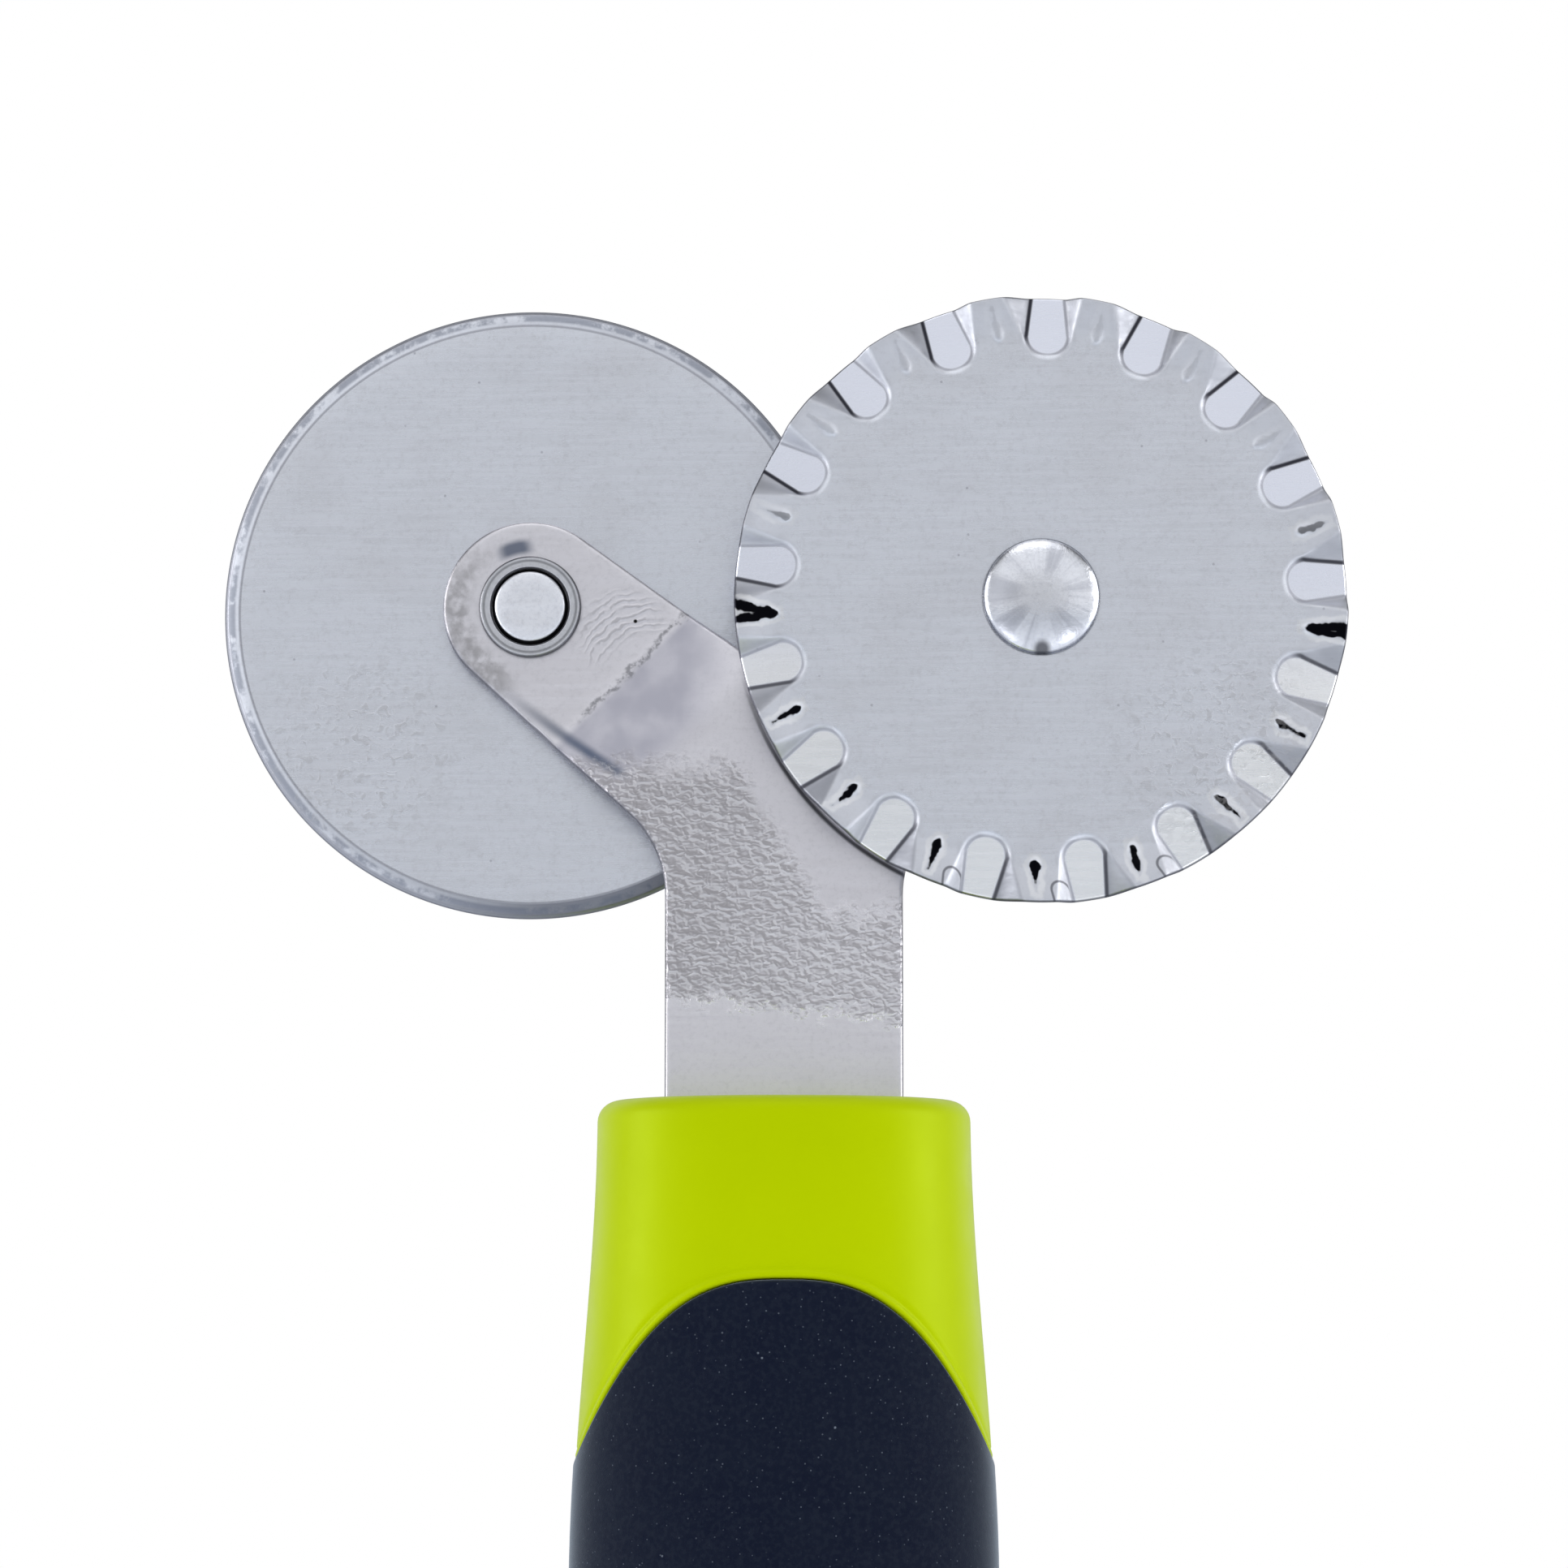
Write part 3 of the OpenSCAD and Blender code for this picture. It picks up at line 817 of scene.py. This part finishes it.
def grip_finish():
    """Soft dark rubber with a faint bloom at its edges and a few specks of dust."""
    look = Finish("grip_rubber", (0.001, 0.004, 0.0175), 0.0, 0.75, Specular_IOR_Level=0.12, Sheen_Weight=0.8,
                  Sheen_Roughness=0.36, Sheen_Tint=(0.8, 0.9, 1.0, 1))
    look.tint(look.fade(look.noise(even(0.3)), 0.35, 0.7, 0, 0.5), (0.0035, 0.0075, 0.021))
    look.tint(look.fade(look.noise(even(3.2)), 0.42, 0.66, 0, 0.5), (0.009, 0.014, 0.028))
    for fineness, size, strength in ((0.7, 0.065, 0.8), (2.3, 0.15, 0.4)):
        specks = look.fade(look.cells(even(fineness)), size / 2, size, 1, 0)
        shown = look.fade(look.noise(even(1.3 * fineness)), 0.38, 0.6, 0, strength)
        look.tint(look.both(specks, shown), (0.2, 0.23, 0.28))
    look.roughen(look.fade(look.noise(even(2)), 0.3, 0.7, -0.04, 0.06))
    look.bump(look.noise(even(14)), 0.01)
    return look


def carrier_finish():
    """Grey moulded plastic."""
    look = Finish("carrier_plastic", (0.22, 0.23, 0.24), 0.0, 0.45)
    look.roughen(look.fade(look.noise(even(1.5)), 0.3, 0.7, -0.04, 0.06))
    look.bump(look.noise(even(6)), 0.01)
    return look


def steel_basics(name, colour, roughness):
    """Steel with a fine grain along x, a few cloudy smudges and a fine orange-peel speckle."""
    look = Finish(name, colour, 1.0, roughness)
    grain = look.noise((0.15, 2, 4), detail=3.0, lumps=0.6)
    look.tint(look.fade(grain, 0.4, 0.8, 0, 0.1), (0.6, 0.61, 0.65))
    speckle = look.noise(even(2.6), detail=3.0, lumps=0.75)
    look.tint(look.fade(speckle, 0.45, 0.75, 0, 0.24), (0.55, 0.54, 0.57))
    look.tint(look.fade(look.noise((0.16, 0.16, 0.2), detail=3.0), 0.45, 0.75, 0, 0.2), (0.68, 0.67, 0.7))
    look.roughen(look.fade(grain, 0.3, 0.7, -0.03, 0.06))
    look.bump(grain, 0.004, 0.25)
    look.bump(speckle, 0.012, 0.5)
    return look


def wheel_finish(pressed):
    """Bright steel with the painted light and shade of the flutes or the bevel, and a scuffed patch low on
    its outer side.
    """
    look = steel_basics("fluted_steel" if pressed else "plain_steel", (0.87, 0.895, 0.965), 0.26)
    if pressed:
        flute_tones(look)
        scuffed = look.fade(look.away_from(FLUTED_AXLE + Vector((11, 0, -9.5))), 3, 9.5, 1, 0)
    else:
        scuffed = look.fade(look.away_from(PLAIN_AXLE + Vector((-11, 0, -9))), 3, 9, 1, 0)
        bevel_tones(look)
    wrinkles = look.noise((1.4, 1.7, 1.7), detail=3.0, lumps=0.6, warp=0.8)
    marks = look.both(look.fade(wrinkles, 0.48, 0.64), scuffed)
    look.tint(look.both(marks, 0.3), (0.5, 0.49, 0.5))
    look.bump(marks, 0.02, 0.5)
    pits = look.fade(look.cells(even(0.5)), 0.02, 0.06, 1, 0)
    look.tint(look.both(pits, 0.5), (0.35, 0.35, 0.4))
    return look


def bevel_tones(look):
    """The ground bevel, with painted shade darkest at its lower right and on its narrow edge band, broken
    dark patches, and a painted shade line at each step.
    """
    ring = look.away_from(PLAIN_AXLE)
    bevel_start, edge_start = WHEEL_R - BEVEL_W, WHEEL_R - EDGE_W
    bevel = look.fade(ring, bevel_start, bevel_start + 0.1)
    across, _, height = look.axes()
    # Painted shade: the bevel darkens towards its lower right.
    lower = look.fade(height, PLAIN_AXLE.z - 17, PLAIN_AXLE.z - 5, 0.9, 0.24)
    rightward = look.fade(across, PLAIN_AXLE.x - 9, PLAIN_AXLE.x + 2, 0.45, 1)
    look.tint(look.both(bevel, lower, rightward), (0.2, 0.21, 0.25))
    look.roughen(look.both(bevel, 0.22))
    # Painted shade on the narrow outer edge band.
    look.tint(look.both(look.fade(ring, edge_start, edge_start + 0.05), 0.6), (0.3, 0.31, 0.36))
    broken = look.fade(look.noise(even(0.5), detail=4.0, lumps=0.7), 0.4, 0.56)
    look.tint(look.both(look.near(ring, WHEEL_R - 0.5, 0.1, 0.32), broken, 0.6), (0.16, 0.18, 0.24))
    # Painted shade lines at the bevel's start, the edge band's start and the rim.
    for radius, dark in ((bevel_start, 0.55), (edge_start, 0.4), (WHEEL_R, 0.7)):
        look.tint(look.both(look.near(ring, radius, 0.02, 0.13), dark), (0.2, 0.2, 0.24))


def flute_tones(look):
    """The pockets' lavender floors, whitened lower down by painted light; painted shade on the walls, ridges,
    facets, outlines, creases and the curls at the rim; the folds' painted black shade with painted
    highlights; and a painted dark line at the rim.
    """
    outside, fold, curl = look.painted("press")
    arc, low, right = look.painted("press_place")
    ring = look.away_from(FLUTED_AXLE)
    lower = look.fade(low, -9, 6)
    before = look.fade(arc, -0.5, 0.3, 1, 0)
    pressed = look.fade(ring, POCKET_START - 0.2, POCKET_START + 0.1)

    floor = look.both(look.fade(outside, -0.16, 0.04, 1, 0), pressed)
    # A lavender tone on the pockets' floors, partly their pressed finish and partly painted reflection.
    look.tint(floor, (0.84, 0.86, 0.95))
    # Painted light: the lower pockets' floors are whitened.
    look.tint(look.both(floor, look.fade(low, -2, 8)), (1.0, 1.0, 1.0))
    facet_width = look.math("SUBTRACT", look.math("MULTIPLY", ring, 0.62), 0.62 * RIDGE_START - 0.28)
    past_facet = look.math("SUBTRACT", outside, facet_width)
    facet = look.both(look.fade(outside, 0.02, 0.12), look.fade(past_facet, -0.12, 0.15, 1, 0), pressed)
    uneven = look.fade(look.noise(even(0.35)), 0.35, 0.65, 0.55, 0.9)
    # Painted shade on the pockets' walls and on the ridges.
    slope = look.both(look.fade(outside, -0.1, 0.05), look.fade(outside, 0.25, 0.7, 1, 0), pressed)
    ridge = look.both(look.fade(outside, 0.0, 0.2), look.fade(ring, RIDGE_START - 0.8, RIDGE_START + 1.4))
    look.tint(look.both(ridge, 0.55), (0.5, 0.505, 0.54))
    look.tint(look.both(slope, 0.6), (0.52, 0.53, 0.57))
    look.roughen(look.both(look.math("MAXIMUM", slope, ridge), 0.25))
    # Painted shade on the steep facet before each pocket, darker lower down.
    look.tint(look.both(facet, before, uneven), (0.42, 0.43, 0.47))
    look.tint(look.both(facet, before, look.fade(low, 6, 14, 0, 0.6)), (0.3, 0.31, 0.35))

    # Painted shade line round each pocket's edge.
    outline = look.both(look.near(outside, 0.05, 0.03, 0.15), pressed)
    look.tint(look.both(outline, 0.5), (0.25, 0.25, 0.3))
    # Painted shade in the crease before each pocket, a little lighter lower down.
    straight = look.fade(ring, POCKET_START + 0.4, POCKET_START + 1.3)
    crease = look.both(look.near(outside, 0.1, 0.05, 0.2), before, straight)
    look.tint(look.both(crease, look.fade(lower, 0, 1, 0.97, 0.75)), (0.03, 0.03, 0.04))
    # Painted shade along the curls at the rim, only on the lowest flutes near the middle.
    curled = look.both(look.near(curl, 0, 0.03, 0.12), look.fade(outside, 0.1, 0.2), look.fade(low, 10, 15))
    look.tint(look.both(curled, look.fade(look.math("ABSOLUTE", right), 7, 11, 0.75, 0)), (0.1, 0.1, 0.12))

    # Painted light and shade on the folds, stronger from a little above the axle downwards: a painted
    # highlight beside each fold, painted black shade in it and a painted glint deep inside its wide end.
    fold_light_and_shade = look.fade(low, -9, -1, 0.12, 1)
    ragged = look.math("ADD", fold, look.fade(look.noise(even(1.1)), 0.3, 0.7, -0.13, 0.1))
    look.tint(look.both(look.near(ragged, 0.3, 0.05, 0.26), fold_light_and_shade, 0.4), (1.0, 1.0, 1.0))
    look.tint(look.both(look.fade(ragged, -0.03, 0.08, 1, 0), fold_light_and_shade), (0.004, 0.004, 0.006))
    glint = look.fade(ragged, -0.55, -0.42, 1, 0)
    look.tint(look.both(glint, fold_light_and_shade, 0.8), (0.85, 0.85, 0.88))
    # Painted dark shade line round the rim's edge.
    edge = look.fade(ring, FLUTED_R - 0.16, FLUTED_R - 0.04)
    look.tint(look.both(edge, 0.85), (0.06, 0.06, 0.08))


def fork_finish():
    """Tumbled steel: painted shade at the joggle, chatter ripples, a wrinkled patch on the tang with painted
    relief shading, a painted shadow of the crimping wheel's rim and painted dark lines along the edges.
    """
    look = steel_basics("tumbled_steel", (0.87, 0.85, 0.895), 0.33)
    x, _, z = look.axes()
    across = look.math("SUBTRACT", x, PLAIN_AXLE.x)
    drop = look.math("SUBTRACT", PLAIN_AXLE.z, z)
    along = look.math("DIVIDE", look.math("ADD", across, drop), math.sqrt(2))
    fork_joggle_tones(look, x, across, drop, along)
    fork_lobe_tones(look, across, drop)
    fork_tang_tones(look, x, z)
    # Painted shadow of the crimping wheel's rim, on the plate just beside it.
    wheel_rim_shadow = look.near(look.away_from(FLUTED_AXLE), FLUTED_R, 0.04, 0.24)
    look.tint(look.both(wheel_rim_shadow, look.fade(drop, 3, 11), look.fade(x, -7, -2), 0.9), (0.04, 0.04, 0.05))
    # Painted shade: dark lines along the plate's edges, from the 'shade' attribute.
    look.tint(look.both(look.painted("shade")[0], 0.9), (0.1, 0.1, 0.12))
    return look


DARK_BLUE = (0.1, 0.13, 0.2)


def fork_joggle_tones(look, x, across, drop, along):
    """Painted shade on the ramp, a painted shade line along the broken crease at its start, and a painted
    dark reflection band along the arm's lower edge.
    """
    left_arm = look.fade(x, -7.0, -2.0, 1, 0)
    ramp_end = look.fade(along, BEND_FAR - 1.5, BEND_FAR + 1.5, 1, 0)
    cloud = look.fade(look.noise(even(0.4)), 0.35, 0.65, 0.7, 1)
    # Painted shade over the left arm's ramp, clouded.
    ramp = look.both(look.fade(along, BEND_NEAR - 0.2, BEND_NEAR + 0.5), ramp_end)
    look.tint(look.both(ramp, left_arm, cloud), (0.48, 0.475, 0.54))
    # Painted shade line along the broken crease where the ramp starts.
    wander = look.math("ADD", along, look.fade(look.noise(even(0.7), detail=3.0), 0.3, 0.7, -0.25, 0.25))
    broken = look.fade(look.noise(even(3.2), detail=3.0), 0.4, 0.6, 0.2, 0.9)
    crease = look.both(look.near(wander, BEND_NEAR, 0.04, 0.3), broken, left_arm)
    inside = look.math("SUBTRACT", look.math("MULTIPLY", drop, math.cos(LOWER_SLOPE)),
                       look.math("MULTIPLY", across, math.sin(LOWER_SLOPE)))
    look.tint(look.both(crease, look.fade(inside, 2.6, 3.8, 1, 0), 0.8), (0.2, 0.2, 0.22))
    # Painted dark reflection band just inside the arm's lower edge, between its two ends.
    from_edge = look.math("SUBTRACT", LOBE_R, inside)
    climb = look.math("POWER", look.math("MAXIMUM", along, 0.0), 1.5)
    drift = look.math("ADD", look.math("MULTIPLY", climb, 0.028), 0.42)
    gap = look.math("SUBTRACT", from_edge, drift)
    ends = look.both(look.fade(along, 0.5, 9.5), look.fade(along, 11.4, 13.0, 1, 0))
    look.tint(look.both(look.near(gap, 0, 0.02, 0.6), ends, 0.88), DARK_BLUE)


def fork_lobe_tones(look, across, drop):
    """Chatter ripples beside the collar, a dark crescent above it and painted shade on the lobe's left side.
    """
    far = look.away_from(PLAIN_AXLE + Vector((8.1, 0, -5.25)))
    waver = look.math("ADD", far, look.fade(look.noise(even(0.8)), 0.3, 0.7, -0.15, 0.15))
    ripple_pitch = 0.45
    rings = look.math("SINE", look.math("MULTIPLY", waver, TAU / ripple_pitch))
    zone = look.fade(look.away_from(PLAIN_AXLE + Vector((6.0, 0, -1.7))), 1.8, 3.6, 1, 0)
    zone = look.both(zone, look.fade(far, 3.0, 4.6), look.fade(look.noise(even(1.5)), 0.3, 0.5, 0.3, 1))
    rings = look.both(rings, zone)
    look.tint(look.fade(rings, 0.0, 0.9, 0, 0.42), (0.36, 0.35, 0.37))
    look.bump(rings, 0.03, 0.4)
    radius = look.away_from(PLAIN_AXLE)
    # A dark blue crescent just above the collar.
    dark_crescent = look.both(look.near(radius, 4.0, 0.2, 0.7),
                       look.fade(look.away_from(PLAIN_AXLE + Vector((-1.0, 0, 3.8))), 0.5, 1.5, 1, 0))
    look.tint(look.both(dark_crescent, 0.85), DARK_BLUE)
    # Painted shade in patches along the lobe's left side, near its edge.
    patchy = look.fade(look.noise(even(1.3), detail=4.0), 0.25, 0.65)
    lobe_side_shade = look.both(look.near(radius, 5.0, 0.4, 1.6), look.fade(across, -2.4, -0.4, 1, 0),
                     look.fade(drop, -5.0, -1.0), patchy)
    look.tint(look.both(lobe_side_shade, 0.7), (0.36, 0.35, 0.36))
    pit = look.fade(look.away_from(PLAIN_AXLE + Vector((6.8, 0, -0.9))), 0.08, 0.16, 1, 0)
    look.tint(pit, (0.01, 0.01, 0.01))


def fork_tang_tones(look, x, z):
    """The wrinkled patch, whose slanted top and wavy foot lie at the heights given here. Its wrinkles get
    painted shade on one flank and a painted highlight on the other.
    """
    wave = look.fade(look.noise(even(0.9), detail=5.0, lumps=0.65), 0.3, 0.7, -0.8, 0.8)
    edge = look.math("ADD", z, wave)
    slanted = look.math("ADD", edge, look.math("MULTIPLY", x, 1.7))
    where = look.math("MAXIMUM", look.fade(slanted, 75.5, 78.0, 1, 0), look.fade(edge, 71.4, 73.0, 1, 0))
    bottom = look.math("ADD", edge, look.math("MULTIPLY", x, 0.12))
    patch = look.both(where, look.fade(bottom, 65.6, 66.8), look.fade(edge, 80.5, 82.8, 1, 0))
    look.tint(look.both(patch, look.fade(x, -7, 4, 0.42, 0.08)), (0.36, 0.34, 0.35))
    grain = (1.8, 2.1, 2.8)
    wrinkles = look.noise(grain, detail=1.0, warp=0.6)
    # Painted relief shading: where the wrinkles fall towards the upper right they are darkened, where they
    # rise they get a painted highlight.
    up_right = look.vector_math("ADD", look.place, (0.06, 0, 0.09))
    slope = look.math("SUBTRACT", wrinkles, look.noise(grain, detail=1.0, warp=0.6, place=up_right))
    look.tint(look.both(patch, look.fade(slope, -0.04, 0.1, 0.1, 0.66)), (0.36, 0.345, 0.36))
    look.tint(look.both(patch, look.fade(slope, -0.07, -0.02, 0.4, 0)), (0.98, 0.97, 0.99))
    look.bump(look.both(wrinkles, patch), 0.1, 0.8)


def rivet_finish():
    """Speckled steel, with streaks and a painted dark reflection low on the domed heads."""
    look = steel_basics("rivet_steel", (0.93, 0.945, 1.0), 0.4)
    speckle = look.noise(even(4), detail=3.0, lumps=0.7)
    look.tint(look.fade(speckle, 0.5, 0.65, 0, 0.25), (0.62, 0.64, 0.72))
    look.bump(speckle, 0.03, 0.5)
    x, y, _ = look.axes()
    head = look.fade(look.math("ABSOLUTE", y), 2.4, 3.4)
    look.roughen(look.both(head, -0.2))
    spokes = []
    for axle in (PLAIN_AXLE, FLUTED_AXLE):
        flat = look.vector_math("MULTIPLY", look.vector_math("SUBTRACT", look.place, axle), (1, 0, 1))
        here = look.fade(look.vector_math("LENGTH", flat, (0, 0, 0)), 0.8, 2.0)
        way = look.vector_math("NORMALIZE", flat, (0, 0, 0))
        streaky = look.noise((2.6, 1, 2.6), detail=4.0, place=way)
        spokes.append(look.both(here, look.fade(streaky, 0.42, 0.62)))
    side = look.fade(x, -1, 1)
    streaks = look.math("ADD", look.both(spokes[0], look.fade(side, 0, 1, 1, 0)), look.both(spokes[1], side))
    look.tint(look.both(streaks, head, 0.6), (0.45, 0.46, 0.52))
    # Painted dark reflection: a dark spot low on each domed head.
    for axle in (PLAIN_AXLE, FLUTED_AXLE):
        head_dark_reflection = look.fade(look.away_from(axle + Vector((0, 0, 0.25 - HEAD_R))), 0.25, 0.75, 1, 0)
        look.tint(look.both(head_dark_reflection, head, 0.85), (0.05, 0.05, 0.06))
    # Painted shade from the 'shade' attribute: the head's rim, the staked end's side and the collar's groove,
    # hollow and edge.
    look.tint(look.both(look.painted("shade")[0], 0.95), (0.03, 0.03, 0.035))
    return look


# ---- build ----

def dress(piece, look):
    """Gives a piece one material."""
    piece.data.materials.clear()
    piece.data.materials.append(look.material)


def build():
    wheel_plain = wheel_finish(False)
    wheel_pressed = wheel_finish(True)
    fork_look, rivet_look = fork_finish(), rivet_finish()
    lime, rubber, carrier = lime_finish(), grip_finish(), carrier_finish()
    dress(plain_wheel(), wheel_plain)
    dress(fluted_wheel(), wheel_pressed)
    dress(fork_plate(), fork_look)
    for name, axle, side in (("plain", PLAIN_AXLE, PLAIN_SIDE), ("fluted", FLUTED_AXLE, FLUTED_SIDE)):
        dress(rivet(name + "_axle_rivet", name + "_rivet", axle, side), rivet_look)
        dress(collar(name + "_staking_collar", name + "_collar", axle, side), rivet_look)
        dress(frame["nodes"][name + "_washer"], rivet_look)
    dress(handle_shell(), lime)
    dress(end_cap(), lime)
    dress(soft_grip(), rubber)
    dress(frame["nodes"]["tang_carrier"], carrier)
    dress(frame["nodes"]["tang_pins"], rivet_look)


# ---- studio ----

CAMERA_TILT = math.radians(7)
CAMERA_DISTANCE = 321.44
AIM_Z = 80.6
LENS = 115.0
FLOOR_R = 2600
FLOOR_Z = TIP_Z - 0.5


def add_camera():
    data = bpy.data.cameras.new("camera")
    data.lens = LENS
    camera = bpy.data.objects.new("camera", data)
    back = Vector((0, -math.cos(CAMERA_TILT), -math.sin(CAMERA_TILT)))
    camera.location = (Vector((0, 0, AIM_Z)) + back * CAMERA_DISTANCE) * MM
    camera.rotation_mode = "QUATERNION"
    camera.rotation_quaternion = (-back).to_track_quat("-Z", "Y")
    bpy.context.scene.collection.objects.link(camera)
    bpy.context.scene.camera = camera


def softbox(name, azimuth, elevation, distance, width, height, watts):
    """A rectangular light aimed at the wheels. Azimuth 0 is the camera's side, 90 the right."""
    data = bpy.data.lights.new(name, "AREA")
    data.shape = "RECTANGLE"
    data.size, data.size_y = width * MM, height * MM
    data.energy = watts
    light = bpy.data.objects.new(name, data)
    a, e = math.radians(azimuth), math.radians(elevation)
    back = Vector((math.sin(a) * math.cos(e), -math.cos(a) * math.cos(e), math.sin(e)))
    light.location = (Vector((0, 0, AIM_Z)) + back * distance) * MM
    light.rotation_mode = "QUATERNION"
    light.rotation_quaternion = (-back).to_track_quat("-Z", "Y")
    light.visible_camera = False
    bpy.context.scene.collection.objects.link(light)


def ramp(tree, value, low, high, start, end):
    node = tree.nodes.new("ShaderNodeMapRange")
    node.interpolation_type = "SMOOTHSTEP"
    tree.links.new(value, node.inputs["Value"])
    for socket, number in (("From Min", low), ("From Max", high), ("To Min", start), ("To Max", end)):
        node.inputs[socket].default_value = number
    return node.outputs["Result"]


def add_world():
    """White behind the tool. Its reflections see a room, grey ahead and dim to the sides and above."""
    world = bpy.data.worlds.new("studio")
    world.use_nodes = True
    tree = world.node_tree
    nodes, links = tree.nodes, tree.links
    way = nodes.new("ShaderNodeTexCoord")
    split = nodes.new("ShaderNodeSeparateXYZ")
    links.new(way.outputs["Generated"], split.inputs[0])
    size = nodes.new("ShaderNodeMath")
    size.operation = "ABSOLUTE"
    links.new(split.outputs["Y"], size.inputs[0])
    room = ramp(tree, size.outputs[0], 0.1, 0.75, 0.1, 0.84)
    dip = ramp(tree, size.outputs[0], 0.84, 0.99, 0.0, -0.28)
    level = nodes.new("ShaderNodeMath")
    links.new(room, level.inputs[0])
    links.new(dip, level.inputs[1])
    behind = nodes["Background"]
    behind.inputs["Strength"].default_value = 1.0
    behind.inputs["Color"].default_value = (1, 1, 1, 1)
    around = nodes.new("ShaderNodeBackground")
    around.inputs["Color"].default_value = (0.95, 0.97, 1.0, 1)
    links.new(level.outputs[0], around.inputs["Strength"])
    path = nodes.new("ShaderNodeLightPath")
    mix = nodes.new("ShaderNodeMixShader")
    links.new(path.outputs["Is Camera Ray"], mix.inputs["Fac"])
    links.new(around.outputs[0], mix.inputs[1])
    links.new(behind.outputs[0], mix.inputs[2])
    links.new(mix.outputs[0], nodes["World Output"].inputs["Surface"])
    bpy.context.scene.world = world


def add_floor():
    """A round pale floor just under the handle's end."""
    bm = bmesh.new()
    bmesh.ops.create_circle(bm, cap_ends=True, segments=96, radius=FLOOR_R * MM)
    bmesh.ops.translate(bm, verts=bm.verts, vec=(0, 0, FLOOR_Z * MM))
    mesh = bpy.data.meshes.new("floor")
    bm.to_mesh(mesh)
    bm.free()
    floor = bpy.data.objects.new("floor", mesh)
    bpy.context.scene.collection.objects.link(floor)
    look = Finish("floor", (0.84, 0.87, 0.92), 0.0, 0.7, Emission_Color=(0.9, 0.95, 1, 1),
                  Emission_Strength=0.15)
    mesh.materials.append(look.material)


build()
add_camera()
add_world()
add_floor()
softbox("left", -76, 10, 450, 200, 330, 0.85)
softbox("right", 76, 10, 450, 200, 330, 0.85)
softbox("above", 0, 70, 500, 420, 260, 0.35)
softbox("low_left", -36, -28, 240, 60, 60, 0.015)
softbox("low_right", 36, -28, 240, 60, 60, 0.015)
bpy.context.scene.view_settings.view_transform = "Standard"
